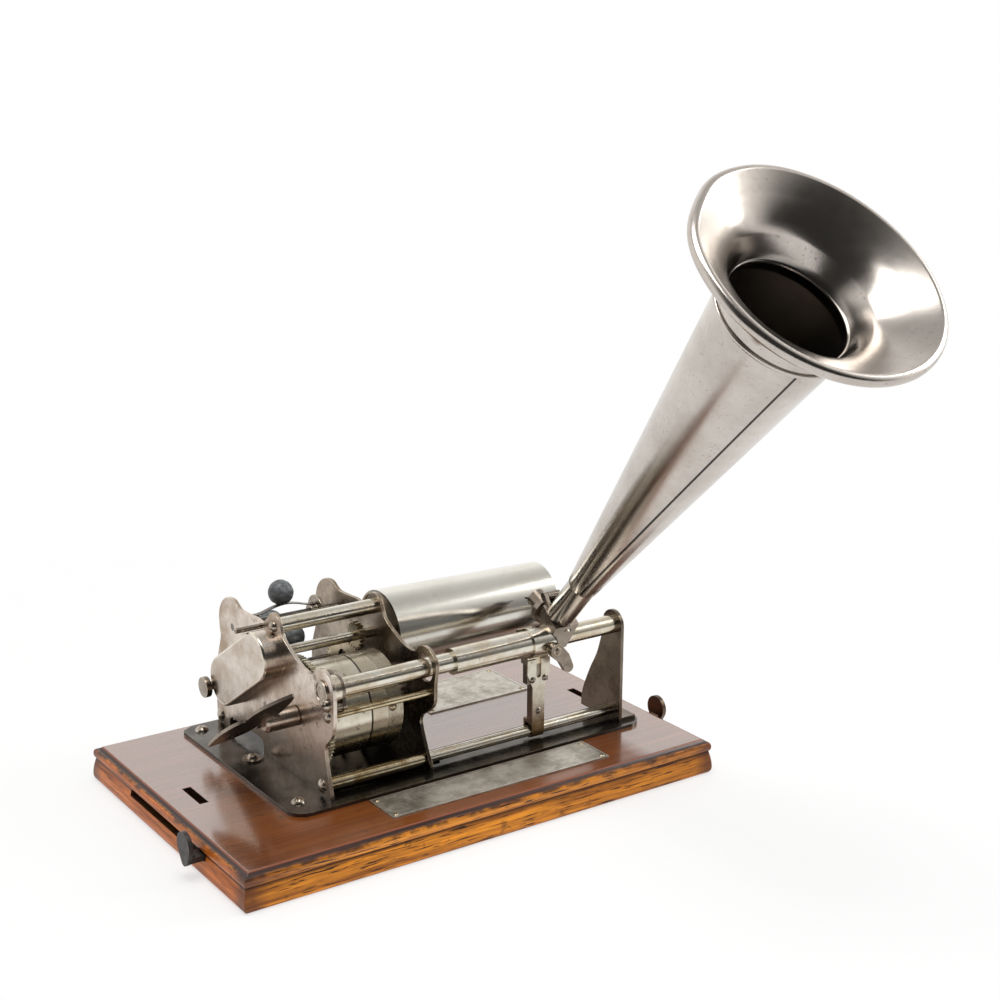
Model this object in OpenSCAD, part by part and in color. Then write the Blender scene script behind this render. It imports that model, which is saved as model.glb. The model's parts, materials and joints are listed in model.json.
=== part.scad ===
// Key-wound cylinder phonograph with open works on a moulded wooden base.
// Lengths are in millimetres: X runs along the mandrel, Y to the back, Z up.
// The origin is the centre of the underside of the base.

/* [Base] */
// Length of the base's top face
base_l = 285; // [282:1:296]
// Width of the base's top face, front to back
base_w = 180; // [178:1:190]
// Height of the whole base
base_h = 20; // [19:0.5:23]
// Height of the lower plinth board
plinth_h = 13; // [12:0.5:14]
// How far the moulded lip stands out past the top face
lip_out = 4.2; // [4:0.1:5.5]
// How far the plinth flares out past the top face
flare_out = 4.8; // [4.5:0.1:6]
// Distance of each lid slot from the middle of the base
lid_slot_x = 127; // [126:0.5:129]
// Length of a lid slot, front to back
lid_slot_l = 22; // [18:1:26]
// Width of a lid slot
lid_slot_w = 4.6; // [4.4:0.1:5]

/* [Lid catches] */
// Thickness of a catch's sliding bar
catch_t = 3; // [2:0.2:3.4]
// Height of a catch's paddle
paddle_h = 16; // [15:0.5:17]
// Width of a catch's paddle
paddle_w = 14.5; // [12:0.5:15.5]
// Travel of a catch to the back
catch_travel = 48; // [38:1:50]

/* [Name plates] */
// Length of the bare front plate
front_plate_l = 139; // [130:1:145]
// Width of the bare front plate
front_plate_w = 25; // [20:1:26]
// Length of the bare rear plate
rear_plate_l = 70; // [60:1:74]
// Width of the bare rear plate
rear_plate_w = 41; // [36:1:44]
// Thickness of the name plates
name_plate_t = 0.8; // [0.5:0.1:1.2]

/* [Frame] */
// Thickness of the bedplate
bed_t = 2; // [1.5:0.1:2.4]
// Radius of the bedplate's corners
bed_corner = 10; // [6:1:12]
// Thickness of the motor plates and the end bracket
sheet_t = 2; // [1.6:0.1:2.2]
// Outer face of the left motor plate
left_x = -73.6; // [-74.5:0.1:-73]
// Left face of the middle motor plate
mid_x = -11.5; // [-12:0.1:-10.8]
// Left face of the end bracket
bracket_x = 115; // [113:0.5:118]
// Radius of the top pillar
pillar_r = 4.2; // [3.6:0.1:4.6]
// Radius of the carriage guide rod
guide_r = 3.1; // [2.6:0.1:3.3]
// Radius of the front tie rod between the motor plates
tie_r = 3.8; // [3.4:0.1:4]
// Radius of the thin spacer rod
spacer_r = 1.85; // [1.5:0.05:2]

/* [Train] */
// Module of every gear
gear_m = 0.8; // [0.79:0.005:0.81]
// Teeth of the barrel gear
barrel_n = 78; // [74:1:80]
// Teeth of the feed pinion
feed_n = 16; // [15:1:17]
// Teeth of the intermediate pinion
inter_pinion_n = 14; // [13:1:15]
// Teeth of the intermediate wheel
inter_wheel_n = 66; // [63:1:68]
// Teeth of the mandrel pinion
mandrel_pinion_n = 18; // [17:1:20]
// Teeth of the mandrel gear under the cover
mandrel_gear_n = 29; // [27:1:30]
// Teeth of the idler under the cover
idler_n = 30; // [28:1:30]
// Teeth of the counter gear under the cover
counter_gear_n = 25; // [23:1:26]
// Teeth of the counter wheel behind the left plate
counter_wheel_n = 58; // [54:1:60]
// Teeth of the governor pinion
governor_n = 12; // [12:1:14]
// Thickness of the gears
gear_t = 3; // [2.4:0.1:3.2]

/* [Spring barrel] */
// Radius of the barrel drum
drum_r = 26.3; // [25.5:0.1:26.8]
// Thickness of the drum's wall
drum_wall = 1.4; // [1:0.1:1.8]
// Thickness of the mainspring ribbon
spring_t = 1; // [0.8:0.05:1.1]
// Turns of the mainspring
spring_turns = 6; // [4:1:7]

/* [Winding key] */
// Radius of the arbor's outer hub
key_hub_r = 5.6; // [5.2:0.1:6]
// Half span of the key's wings
key_span = 31; // [28:0.5:31.5]
// Thickness of the key's sheet
key_t = 1.8; // [1.4:0.1:2.2]

/* [Gear cover] */
// Depth of the cover in front of the left plate
cover_depth = 11.2; // [11:0.1:12]
// Thickness of the cover's sheet
cover_wall = 0.9; // [0.7:0.05:1]
// Radius of the cover's upper end
cover_r_top = 14; // [13.7:0.1:14.2]
// Radius of the cover's lower end
cover_r_low = 14.2; // [13.8:0.1:14.6]
// Radius of the cover's thumb screw
thumb_r = 6; // [5.5:0.25:6.5]

/* [Governor] */
// Radius of a lead ball
ball_r = 7.3; // [6.8:0.1:7.5]
// Distance of the balls from the governor's axis
ball_off = 15; // [14.6:0.1:15.4]
// Radius of the friction disc
disc_r = 9; // [8.6:0.1:9.5]

/* [Mandrel] */
// Length of the mandrel
mandrel_l = 109; // [106:0.5:110]
// Radius of the mandrel's large left end
mandrel_r0 = 22.9; // [22.5:0.1:23.1]
// Radius of the mandrel's small right end
mandrel_r1 = 20.5; // [20.2:0.1:20.8]
// Thickness of the mandrel's wall
mandrel_wall = 1.4; // [1:0.1:1.8]
// Radius of the mandrel's shaft
shaft_r = 2.8; // [2.4:0.1:3]

/* [Feed and carriage] */
// Outer radius of the feed tube
tube_r = 5.3; // [5.1:0.05:5.4]
// Thickness of the feed tube's wall
tube_wall = 1; // [0.9:0.05:1.1]
// Radius of the feed screw
screw_r = 2.8; // [2.5:0.1:2.9]
// Outer radius of the carriage sleeve
sleeve_r = 7.3; // [7.1:0.1:7.5]
// Length of the carriage sleeve
sleeve_l = 50; // [46:0.5:50.5]
// Radius of the carriage collar
collar_r = 8.5; // [8.2:0.1:8.8]
// Side of the square flange under the horn
flange_side = 16; // [15.6:0.1:16.4]

/* [Horn] */
// Lean of the horn's axis forward from upright, in degrees
horn_lean = 41; // [40:0.5:42]
// Outer radius of the horn's neck
neck_r = 8; // [7.8:0.05:8.2]
// Length of the horn's neck
neck_l = 30; // [28:0.5:32]
// Length of the horn's cone
cone_l = 218; // [210:1:225]
// Outer radius of the cone at its bead ring
cone_r = 33.4; // [32:0.2:35]
// Length of the bell past the bead ring
bell_l = 34.5; // [32:0.5:37]
// Outer radius of the bell's rolled rim
rim_r = 64.8; // [62:0.2:67]
// Thickness of the horn's sheet
horn_wall = 0.9; // [0.7:0.05:1.1]

/* [Hidden] */
$fn = 64;

// Clearances
run_gap = 0.05;
press_gap = 0.02;
side_gap = 0.3;
guide_gap = 0.08;
cut = 1;

// Heights of the deck and the bedplate
deck = base_h;
bed_top = deck + bed_t;

// Axes that run along X, as points of Y and Z
function polar(d, a) = d * [cos(a), sin(a)];
function pitch_r(n) = gear_m * n / 2;
function mesh(n1, n2) = pitch_r(n1) + pitch_r(n2);
tube = [-41, deck + 60.3];
arbor_dir = -37.5;
inter_dir = -10;
mandrel_dir = 105.3;
cover_dir = -33.4;
governor_dir = 73.5;
arbor = tube + polar(mesh(barrel_n, feed_n), arbor_dir);
inter = arbor + polar(mesh(barrel_n, inter_pinion_n), inter_dir);
mandrel_axis = inter + polar(mesh(inter_wheel_n, mandrel_pinion_n), mandrel_dir);
idler = mandrel_axis + polar(mesh(mandrel_gear_n, idler_n), cover_dir);
counter = idler + polar(mesh(idler_n, counter_gear_n), cover_dir);
governor = counter + polar(mesh(counter_wheel_n, governor_n), governor_dir);
pillar = mandrel_axis + [-4.7, 16.9];
guide = [tube[0] + 2.5, bed_top + 5];
rear_tie = [81, bed_top + 4.5];
spacer = [-46, deck + 48.2];
brake = mandrel_axis + [11, 12.6];

// Phases that set the gears in mesh at rest
function mesh_phase(p, n1, n2, a) = a + 180 - 180 / n2 + (a - p) * n1 / n2;
feed_phase = mesh_phase(0, barrel_n, feed_n, arbor_dir + 180);
inter_phase = mesh_phase(0, barrel_n, inter_pinion_n, inter_dir);
mandrel_phase = mesh_phase(0, inter_wheel_n, mandrel_pinion_n, mandrel_dir);
idler_phase = mesh_phase(0, mandrel_gear_n, idler_n, cover_dir);
counter_phase = mesh_phase(idler_phase, idler_n, counter_gear_n, cover_dir);
governor_phase = mesh_phase(0, counter_wheel_n, governor_n, governor_dir);

// Places along X
left_in = left_x + sheet_t;
mid_in = mid_x;
mid_out = mid_x + sheet_t;
bracket_out = bracket_x + sheet_t;
barrel_gear_x = left_in + 1.2;
drum_x0 = barrel_gear_x + gear_t;
drum_x1 = -22.9;
cover_x = left_x - cover_depth;
outer_gear_x = left_x - 7;
inter_wheel_x = drum_x1 + 1.4;
counter_wheel_x = barrel_gear_x + gear_t + 1.9;
mandrel_x0 = -5.3;
mandrel_x1 = mandrel_x0 + mandrel_l;

// Carriage and horn places
sleeve_x1 = 55;
sleeve_x0 = sleeve_x1 - sleeve_l;
collar_x1 = 72.4;
horn_x = 76.5;
horn_seat = [tube[0] - 2.6, tube[1] + 13.7];
leg_x = 62.4;
leg_w = 8.2;

// Rods, plates and outlines
module rod_x(p, x0, x1, r) {
  translate([x0, p[0], p[1]]) rotate([0, 90, 0]) cylinder(h = x1 - x0, r = r);
}
module plate_x(x0, t) {
  translate([x0, 0, 0]) rotate([90, 0, 90]) linear_extrude(t) children();
}
module plate_y(y1, t) {
  translate([0, y1, 0]) rotate([90, 0, 0]) linear_extrude(t) children();
}
module dot(p, r) {
  translate(p) circle(r);
}
module box(x0, x1, y0, y1, z0, z1) {
  translate([x0, y0, z0]) cube([x1 - x0, y1 - y0, z1 - z0]);
}
module rounded_rect(x0, x1, y0, y1, r) {
  translate([x0 + r, y0]) square([x1 - x0 - 2 * r, y1 - y0]);
  translate([x0, y0 + r]) square([x1 - x0, y1 - y0 - 2 * r]);
  for (x = [x0 + r, x1 - r])
    for (y = [y0 + r, y1 - r])
      dot([x, y], r);
}

// A link is two circles joined by their common tangents
module link(c1, r1, c2, r2) {
  a = atan2(c2[1] - c1[1], c2[0] - c1[0]);
  b = acos((r1 - r2) / norm(c2 - c1));
  polygon(concat(arc(c1, r1, a + b, a + 360 - b, 24), arc(c2, r2, a - b, a + b, 24)));
}

// A smooth open curve through points, for outlines with flowing edges
function cubic(a, b, c, d, t) =
  0.5 * (2 * b + (c - a) * t + (2 * a - 5 * b + 4 * c - d) * t * t
  + (3 * b - a - 3 * c + d) * t * t * t);
function at(p, i) = p[max(0, min(len(p) - 1, i))];
function smooth(p, steps = 4) = concat(
  [for (i = [0:len(p) - 2]) for (k = [0:steps - 1])
    cubic(at(p, i - 1), p[i], p[i + 1], at(p, i + 2), k / steps)],
  [p[len(p) - 1]]);
function arc(c, r, a0, a1, n) = [for (i = [0:n]) c + polar(r, a0 + (a1 - a0) * i / n)];

// Gears have involute flanks, thinned a little so that they run freely
pressure = 20;
backlash = 0.12;
function inv(a) = tan(a) * 180 / PI - a;
function flank(n, r) =
  90 / n - backlash / pitch_r(n) * 90 / PI + inv(pressure)
  - inv(acos(min(1, pitch_r(n) * cos(pressure) / r)));
function gear_tip(n) = pitch_r(n) + 0.8 * gear_m;
function gear_points(n) =
  let (base = pitch_r(n) * cos(pressure),
       root = pitch_r(n) - 1.05 * gear_m,
       low = max(base, root),
       radii = [root, low + 0.01, pitch_r(n), gear_tip(n)])
  [for (i = [0:n - 1])
    let (a = i * 360 / n)
    each concat(
      [for (r = radii) polar(r, a - flank(n, max(r, low)))],
      [for (k = [3:-1:0]) polar(radii[k], a + flank(n, max(radii[k], low)))])];
module gear(p, n, phase, x0, t, bore) {
  plate_x(x0, t) translate(p) difference() {
    rotate(phase) polygon(gear_points(n));
    circle(bore);
  }
}

// Base boards: one moulding profile runs round all four sides
step_out = 1.8;
step_drop = 1.7;
notch_out = 2.8;
function board_edge() = concat(
  [[0, base_h], [step_out, base_h - step_drop]],
  [for (a = [80:-20:-80]) [
    notch_out + (lip_out - notch_out) * cos(a),
    (base_h - step_drop + plinth_h) / 2 + (base_h - step_drop - plinth_h) / 2 * sin(a)
  ]],
  [[notch_out, plinth_h]]);
function plinth_edge() = concat(
  [for (s = [0:0.2:1]) [
    notch_out + 0.4 + (flare_out - notch_out - 0.4) * sin(90 * s),
    plinth_h * (1 - 0.75 * s)
  ]],
  [[flare_out - 0.3, plinth_h * 0.1], [flare_out - 1.4, 0]]);
module moulded(edge) {
  reach = base_l + base_w;
  module profile(half) {
    right = [for (e = edge) [half + e[0], e[1]]];
    left = [for (i = [len(edge) - 1:-1:0]) [-half - edge[i][0], edge[i][1]]];
    polygon(concat(right, left));
  }
  intersection() {
    rotate([90, 0, 90]) linear_extrude(reach, center = true) profile(base_w / 2);
    rotate([90, 0, 0]) linear_extrude(reach, center = true) profile(base_l / 2);
  }
}
lid_slot_y = 2.3;
channel_depth = 24;
catch_bar_l = 34;
left_catch_y = -45;
right_catch_y = -36;
catch_half = paddle_w * 0.3;
channel_y0 = left_catch_y - catch_half - cut;
channel_y1 = right_catch_y - catch_half + catch_bar_l + catch_travel + cut;
catch_z0 = plinth_h - catch_t - side_gap;
module lid_slots(z0, z1) {
  for (s = [-1, 1])
    translate([s * lid_slot_x - lid_slot_w / 2, lid_slot_y - lid_slot_l / 2, z0])
      cube([lid_slot_w, lid_slot_l, z1 - z0]);
}
module top_board() {
  color("#6b3420") difference() {
    moulded(board_edge());
    lid_slots(plinth_h - cut, base_h + cut);
  }
}
module plinth_board() {
  side_x = base_l / 2 + flare_out + cut;
  color("#b5651d") difference() {
    moulded(plinth_edge());
    for (s = [0, 1])
      mirror([s, 0, 0])
        box(-side_x, -side_x + channel_depth + cut, channel_y0, channel_y1,
            catch_z0 - side_gap, plinth_h + cut);
    for (s = [-1, 1])
      translate([s * lid_slot_x - lid_slot_w / 2, lid_slot_y - lid_slot_l / 2, plinth_h / 3])
        cube([lid_slot_w, lid_slot_l, plinth_h]);
  }
}

// A catch is a bar in the channel with a paddle turned up outside the lip
paddle_x = base_l / 2 + lip_out + 7.8;
neck_half = 3.2;
root_r = 5;
module catch_shape() {
  bar_x = base_l / 2 + flare_out - channel_depth + side_gap;
  box(bar_x, paddle_x, -catch_half, catch_half, catch_z0, catch_z0 + catch_t);
  box(bar_x, base_l / 2 + notch_out - 1, -catch_half, catch_bar_l - catch_half,
      catch_z0, catch_z0 + catch_t);
  plate_x(paddle_x - catch_t * 0.4, catch_t * 0.8)
    link([0, catch_z0 + 1], neck_half, [0, catch_z0 + paddle_h - paddle_w / 2], paddle_w / 2);
  root = [paddle_x, catch_z0 + catch_t];
  plate_y(neck_half, 2 * neck_half)
    polygon(concat([root + [0, -1], root + [-root_r, -1]],
                   arc(root + [-root_r, root_r], root_r, 270, 360, 8)));
}
module left_catch() {
  color("#5a5048") translate([0, left_catch_y, 0]) mirror([1, 0, 0]) catch_shape();
}
module right_catch() {
  color("#5a5048") translate([0, right_catch_y, 0]) catch_shape();
}

// Bare name plates with small pins at their corners
front_plate_at = [14, -68];
rear_plate_at = [70, 47.5];
pin_inset = 3;
pin_r = 0.9;
module name_plate(c, l, w) {
  translate([0, 0, deck]) linear_extrude(name_plate_t) difference() {
    rounded_rect(c[0] - l / 2, c[0] + l / 2, c[1] - w / 2, c[1] + w / 2, 1.5);
    corner_places(c, l, w) circle(pin_r + press_gap);
  }
}
module corner_places(c, l, w) {
  for (sx = [-1, 1])
    for (sy = [-1, 1])
      translate([c[0] + sx * (l / 2 - pin_inset), c[1] + sy * (w / 2 - pin_inset)]) children();
}
module name_plates() {
  color("#9a8f7d") {
    name_plate(front_plate_at, front_plate_l, front_plate_w);
    name_plate(rear_plate_at, rear_plate_l, rear_plate_w);
  }
}
module pin_shape() {
  translate([0, 0, deck]) cylinder(h = name_plate_t, r = pin_r);
  translate([0, 0, deck + name_plate_t]) cylinder(h = 0.5, r1 = 1.5, r2 = 0.9);
}
module name_plate_pins() {
  color("#8a7440") {
    corner_places(front_plate_at, front_plate_l, front_plate_w) pin_shape();
    corner_places(rear_plate_at, rear_plate_l, rear_plate_w) pin_shape();
  }
}

// Bedplate: wide under the motor, a narrow rail in front under the top works
bed_left = -98;
bed_mid = 4;
bed_right = 127;
bed_front = -54;
bed_back = 85;
rail_back = -21;
bed_screw_r = 1.9;
head_r = 4;
head_h = 2.6;
washer_r = 5.6;
washer_t = 0.9;
foot_l = 11;
bed_screws = [[-88.5, 76], [-83, 23.2], [-88, -39], [-4, 60], [100, -28]];
foot_screws = [[left_in + foot_l / 2, -24], [mid_out + foot_l / 2, -27],
               [bracket_out + foot_l / 2, -31]];
module bedplate() {
  color("#2c2622") translate([0, 0, deck]) linear_extrude(bed_t) difference() {
    union() {
      rounded_rect(bed_left, bed_mid, bed_front, bed_back, bed_corner);
      rounded_rect(bed_left, bed_left + 30, bed_back - 40, bed_back - 3, 3);
      rounded_rect(bed_left, bed_right + 3, bed_front, rail_back, bed_corner);
    }
    for (p = concat(bed_screws, foot_screws)) dot(p, bed_screw_r + press_gap);
  }
}
module dome(h, r) {
  big = (r * r + h * h) / (2 * h);
  intersection() {
    translate([0, 0, h - big]) sphere(big);
    cylinder(h = h, r = r);
  }
}
module bed_screw(z, r) {
  translate([0, 0, deck]) cylinder(h = z - deck, r = bed_screw_r);
  difference() {
    translate([0, 0, z]) dome(head_h, r);
    rotate(55) translate([-r, -0.5, z + head_h - 1]) cube([2 * r, 1, 2]);
  }
}
module bedplate_screws() {
  color("#6a6055") {
    for (i = [0:len(bed_screws) - 1])
      translate([bed_screws[i][0], bed_screws[i][1], 0]) {
        bed_screw(i == 1 ? bed_top + washer_t : bed_top, i == 1 ? head_r * 0.75 : head_r);
        if (i == 1)
          translate([0, 0, bed_top]) difference() {
            cylinder(h = washer_t, r = washer_r);
            translate([0, 0, -cut]) cylinder(h = washer_t + 2 * cut, r = bed_screw_r + press_gap);
          }
      }
    for (p = foot_screws) translate([p[0], p[1], 0]) bed_screw(bed_top + sheet_t, head_r);
  }
}

// Motor plates: lobes round the feed tube, the pillar and the governor
lobe_r = 12;
pillar_lobe_r = 7.5;
rear_lobe_r = 17;
plate_back = 86;
function plate_outline(foot, waist, front) = concat(
  [[foot, bed_top]],
  smooth(concat(
    [[foot, bed_top + 3], [foot + (waist - foot) * 0.45, deck + 13], [waist, deck + 26],
     [waist - 1, deck + 31.5], [(waist + front) / 2 - 1, deck + 36.5], [front + 0.6, deck + 43],
     [front - 0.2, tube[1] - 6]],
    arc(tube, lobe_r, 160, 55, 4),
    [tube + [10.8, 6.2], tube + [21, 6.6], pillar + [-18, -8.2], pillar + [-10.2, -3.4]],
    arc(pillar, pillar_lobe_r, 155, 25, 4),
    [pillar + [13, -1.6], brake + [4.6, 3.2], governor + [-21, 13.4]],
    arc(governor, rear_lobe_r, 128, -14, 5),
    [governor + [15.6, -10], [plate_back - 4.6, deck + 45.5], [plate_back - 1.2, deck + 36],
     [plate_back, deck + 21], [plate_back, bed_top]])));
arch_y0 = 28;
arch_y1 = 70;
arch_top = deck + 9.5;
arch_r = 4;
module arch() {
  translate([arch_y0, deck - cut]) square([arch_y1 - arch_y0, arch_top - arch_r - deck + cut]);
  translate([arch_y0 + arch_r, deck]) square([arch_y1 - arch_y0 - 2 * arch_r, arch_top - deck]);
  for (y = [arch_y0 + arch_r, arch_y1 - arch_r]) dot([y, arch_top - arch_r], arch_r);
}
foot_y0 = -34;
foot_y1 = -14;
module foot(x0, y0, y1, hole) {
  difference() {
    box(x0, x0 + foot_l, y0, y1, bed_top, bed_top + sheet_t);
    translate([hole[0], hole[1], deck]) cylinder(h = 4 * sheet_t, r = bed_screw_r + press_gap);
  }
}
journal_r = 2;
inter_r = 1.8;
sleeve_out_r = 4;
brake_r = 1.5;
arbor_r = 4;
yoke_post_r = 1.8;
screw_hole_r = 1.6;
yoke_off = 9.6;
yoke_dirs = [35, 230];
module shared_holes() {
  dot(mandrel_axis, shaft_r + run_gap);
  dot(arbor, arbor_r + run_gap);
  dot(inter, inter_r + run_gap);
  dot(governor, journal_r + run_gap);
  dot(brake, brake_r + run_gap);
  for (p = [pillar, guide, rear_tie, spacer]) dot(p, screw_hole_r + press_gap);
}
module left_motor_plate() {
  color("#b9a999") {
    plate_x(left_x, sheet_t) difference() {
      polygon(plate_outline(-47.6, -42.4, -52.4));
      arch();
      shared_holes();
      dot(tube, journal_r + run_gap);
      dot(counter, sleeve_out_r + run_gap);
      dot(idler, inter_r + press_gap);
      dot(thumb_at, screw_hole_r + run_gap);
      for (a = yoke_dirs) dot(tube + polar(yoke_off, a), screw_hole_r + press_gap);
    }
    foot(left_in, foot_y0, foot_y1, foot_screws[0]);
  }
}
click_pivot = arbor + polar(13.5, 60);
module middle_motor_plate() {
  color("#a3968a") {
    plate_x(mid_x, sheet_t) difference() {
      polygon(plate_outline(-46, -36, -50.4));
      arch();
      shared_holes();
      dot(tube, sleeve_r + side_gap);
      dot(counter, screw_hole_r + press_gap);
      dot(click_pivot, screw_hole_r + press_gap);
    }
    foot(mid_out, foot_y0 - 1, foot_y1 - 6, foot_screws[1]);
  }
}
bracket_top_r = 8.4;
module end_bracket() {
  color("#8f8478") {
    plate_x(bracket_x, sheet_t) difference() {
      polygon(concat(
        [[-49.4, bed_top]],
        smooth(concat([[-49.4, bed_top + 10], [-49.4, tube[1] - 9]],
          arc(tube, bracket_top_r, 175, 15, 6),
          [[-31.8, tube[1] - 8], [-30.6, deck + 48], [-27.2, deck + 38.3], [-21.4, deck + 27.7],
           [-16.2, deck + 16.5], [-13.9, deck + 9.3], [-13.3, bed_top]]))));
      dot(tube, tube_r + press_gap);
      dot(guide, screw_hole_r + press_gap);
    }
    foot(bracket_out, -48, -14, foot_screws[2]);
  }
}

// Pillars and rods stand between the plates
module post(p, x0, x1, r, end0, end1) {
  rod_x(p, x0, x1, r);
  rod_x(p, x0 - end0, x1 + end1, screw_hole_r);
}
module top_pillar() {
  color("#c2b59a") post(pillar, left_in, mid_in, pillar_r, sheet_t, sheet_t);
}
module tie_rods() {
  color("#c2b59a") {
    post(guide, left_in, mid_in, tie_r, sheet_t, sheet_t / 2);
    post(rear_tie, left_in, mid_in, tie_r, sheet_t, sheet_t);
  }
}
module spacer_rod() {
  color("#c2b59a") post(spacer, left_in, mid_in, spacer_r, sheet_t, sheet_t);
}
module guide_rod() {
  color("#cfc4ad") post(guide, mid_out, bracket_x, guide_r, sheet_t / 2, sheet_t);
}

// Dome screws on the outer faces of the plates
module dome_x(p, x, s, r, h) {
  translate([x, p[0], p[1]]) rotate([0, 90 * s, 0]) dome(h, r);
}
module frame_screws() {
  color("#a89b86") {
    dome_x(pillar, left_x, -1, 3.2, 2.6);
    dome_x(guide, left_x, -1, 4, 2.2);
    dome_x(rear_tie, left_x, -1, 4, 2.2);
    dome_x(spacer, left_x, -1, 3.6, 2);
    dome_x(pillar, mid_out, 1, 4.2, 1.6);
    dome_x(rear_tie, mid_out, 1, 3.6, 1.8);
    dome_x(spacer, mid_out, 1, 2.8, 1.6);
    dome_x(guide, bracket_out, 1, 2.6, 1.8);
  }
}

// The yoke holds the feed tube clear of the feed pinion
yoke_x = barrel_gear_x + gear_t + 1.6;
yoke_t = 2;
module tube_yoke() {
  color("#9c8f80") {
    plate_x(yoke_x, yoke_t) difference() {
      union() {
        dot(tube, tube_r + 2);
        for (a = yoke_dirs)
          link(tube, tube_r, tube + polar(yoke_off, a), yoke_post_r + 0.5);
      }
      dot(tube, tube_r + press_gap);
    }
    for (a = yoke_dirs)
      post(tube + polar(yoke_off, a), left_in, yoke_x, yoke_post_r, sheet_t, 0);
  }
}
cap_r = 6.4;
cap_t = 1.2;
module bearing_cap() {
  color("#8c7f70") difference() {
    rod_x(tube, left_x - cap_t, left_x, cap_r);
    rod_x(tube, left_x - cap_t - cut, left_x - cap_t + 0.5, cap_r - 1.4);
    rod_x(tube, left_x - cap_t / 2, left_x + cut, journal_r + run_gap);
  }
}
tube_slot = 4;
tube_bore = tube_r - tube_wall;
module feed_tube() {
  color("#d0c6b2") difference() {
    rod_x(tube, yoke_x, bracket_out, tube_r);
    rod_x(tube, yoke_x - cut, bracket_x - 2, tube_bore);
    rod_x(tube, bracket_x - 2 - cut, bracket_x + sheet_t / 2, journal_r + run_gap);
    box(yoke_x + 6, bracket_x - 6, tube[0], tube[0] + tube_r + cut,
        tube[1] - tube_slot / 2, tube[1] + tube_slot / 2);
  }
}

// Winding arbor, key, ratchet and click
hub_x0 = -93;
key_dir = 138;
key_tilt = 3;
key_cock = 28;
key_slot_l = 8;
ratchet_n = 18;
ratchet_r = 9;
ratchet_x = inter_wheel_x + gear_t + 1.2;
ratchet_t = 2;
module key_plane() {
  translate([0, arbor[0], arbor[1]]) rotate([key_dir, 0, 0]) children();
}
module winding_arbor() {
  color("#6f6558") difference() {
    union() {
      rod_x(arbor, hub_x0 + 1.5, left_x - 0.5, key_hub_r);
      translate([hub_x0, arbor[0], arbor[1]]) rotate([0, 90, 0])
        cylinder(h = 1.5, r1 = key_hub_r - 1.4, r2 = key_hub_r);
      rod_x(arbor, hub_x0 + 2, mid_out, arbor_r);
    }
    key_plane() {
      box(hub_x0 - cut, hub_x0 + key_slot_l, -key_hub_r - cut, key_hub_r + cut,
          -key_t / 2 - press_gap, key_t / 2 + press_gap);
      translate([hub_x0 + key_slot_l / 2, 0, -key_hub_r - cut])
        cylinder(h = 2 * key_hub_r + 2 * cut, r = pin_r + press_gap);
    }
  }
}
key_wing = smooth([[-5.6, 0], [-5.8, key_span * 0.36], [-8.2, key_span * 0.61], [-11.5, key_span * 0.84],
  [-15.5, key_span], [-17.6, key_span * 0.9], [-19.8, key_span * 0.71], [-21.6, key_span * 0.48],
  [-21.8, key_span * 0.26], [-20.6, key_span * 0.08], [-18.8, 0]]);
module winding_key() {
  pin_x = hub_x0 + key_slot_l / 2;
  color("#a89c90") key_plane() difference() {
    union() {
      translate([hub_x0, 0, 0]) rotate([0, -key_tilt, 0]) translate([-hub_x0, 0, -key_t / 2])
        linear_extrude(key_t) translate([pin_x, 0]) rotate(-key_cock)
          polygon(concat(key_wing,
            [for (i = [len(key_wing) - 2:-1:1]) [key_wing[i][0], -key_wing[i][1]]]));
      box(hub_x0 - 3, hub_x0 + key_slot_l - 0.1, -key_hub_r * 0.8, key_hub_r * 0.8,
          -key_t / 2, key_t / 2);
    }
    translate([pin_x, 0, -key_hub_r]) cylinder(h = 2 * key_hub_r, r = pin_r + press_gap);
  }
}
module key_pin() {
  color("#8a7440") key_plane() translate([hub_x0 + key_slot_l / 2, 0, -key_hub_r + 0.3])
    cylinder(h = 2 * key_hub_r - 0.6, r = pin_r);
}
module ratchet_wheel() {
  step = 360 / ratchet_n;
  color("#7d7368") plate_x(ratchet_x, ratchet_t) translate(arbor) difference() {
    polygon([for (i = [0:ratchet_n - 1])
      each [polar(ratchet_r, i * step), polar(ratchet_r - 1.6, i * step + 1)]]);
    circle(arbor_r + press_gap);
  }
}
module click() {
  tip = arbor + polar(ratchet_r + 1.6, 20);
  color("#8c8276") {
    plate_x(ratchet_x, ratchet_t) link(click_pivot, 2.6, tip, 1);
    rod_x(click_pivot, ratchet_x + ratchet_t, mid_in, 2.4);
    rod_x(click_pivot, mid_in, mid_out, screw_hole_r);
  }
}

// Spring barrel: drum, lid, toothed ring and mainspring
lid_x = drum_x1 - 9;
spring_in = 6.4;
spring_x0 = drum_x0 + drum_wall + side_gap;
spring_x1 = lid_x - side_gap;
module barrel_drum() {
  color("#b3a798") difference() {
    rod_x(arbor, drum_x0, lid_x, drum_r);
    rod_x(arbor, drum_x0 + drum_wall, lid_x + cut, drum_r - drum_wall);
    rod_x(arbor, drum_x0 - cut, lid_x, arbor_r + run_gap);
  }
}
module barrel_cover() {
  color("#a5998a") difference() {
    rod_x(arbor, lid_x, drum_x1, drum_r);
    rod_x(arbor, lid_x - cut, drum_x1 + cut, arbor_r + run_gap);
    rod_x(arbor, drum_x1 - 5, drum_x1 + cut, drum_r - 2.4);
    barrel_screw_places() {
      cylinder(h = 8, r = screw_hole_r + press_gap, center = true);
      translate([0, 0, 3.6 - press_gap]) cylinder(h = 4, r = 2.5);
    }
  }
}
module barrel_screw_places() {
  for (a = [172, 292, 52])
    translate([lid_x + 2.4, arbor[0], arbor[1]]) rotate([a - 90, 0, 0])
      translate([0, 0, drum_r - 4]) children();
}
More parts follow.
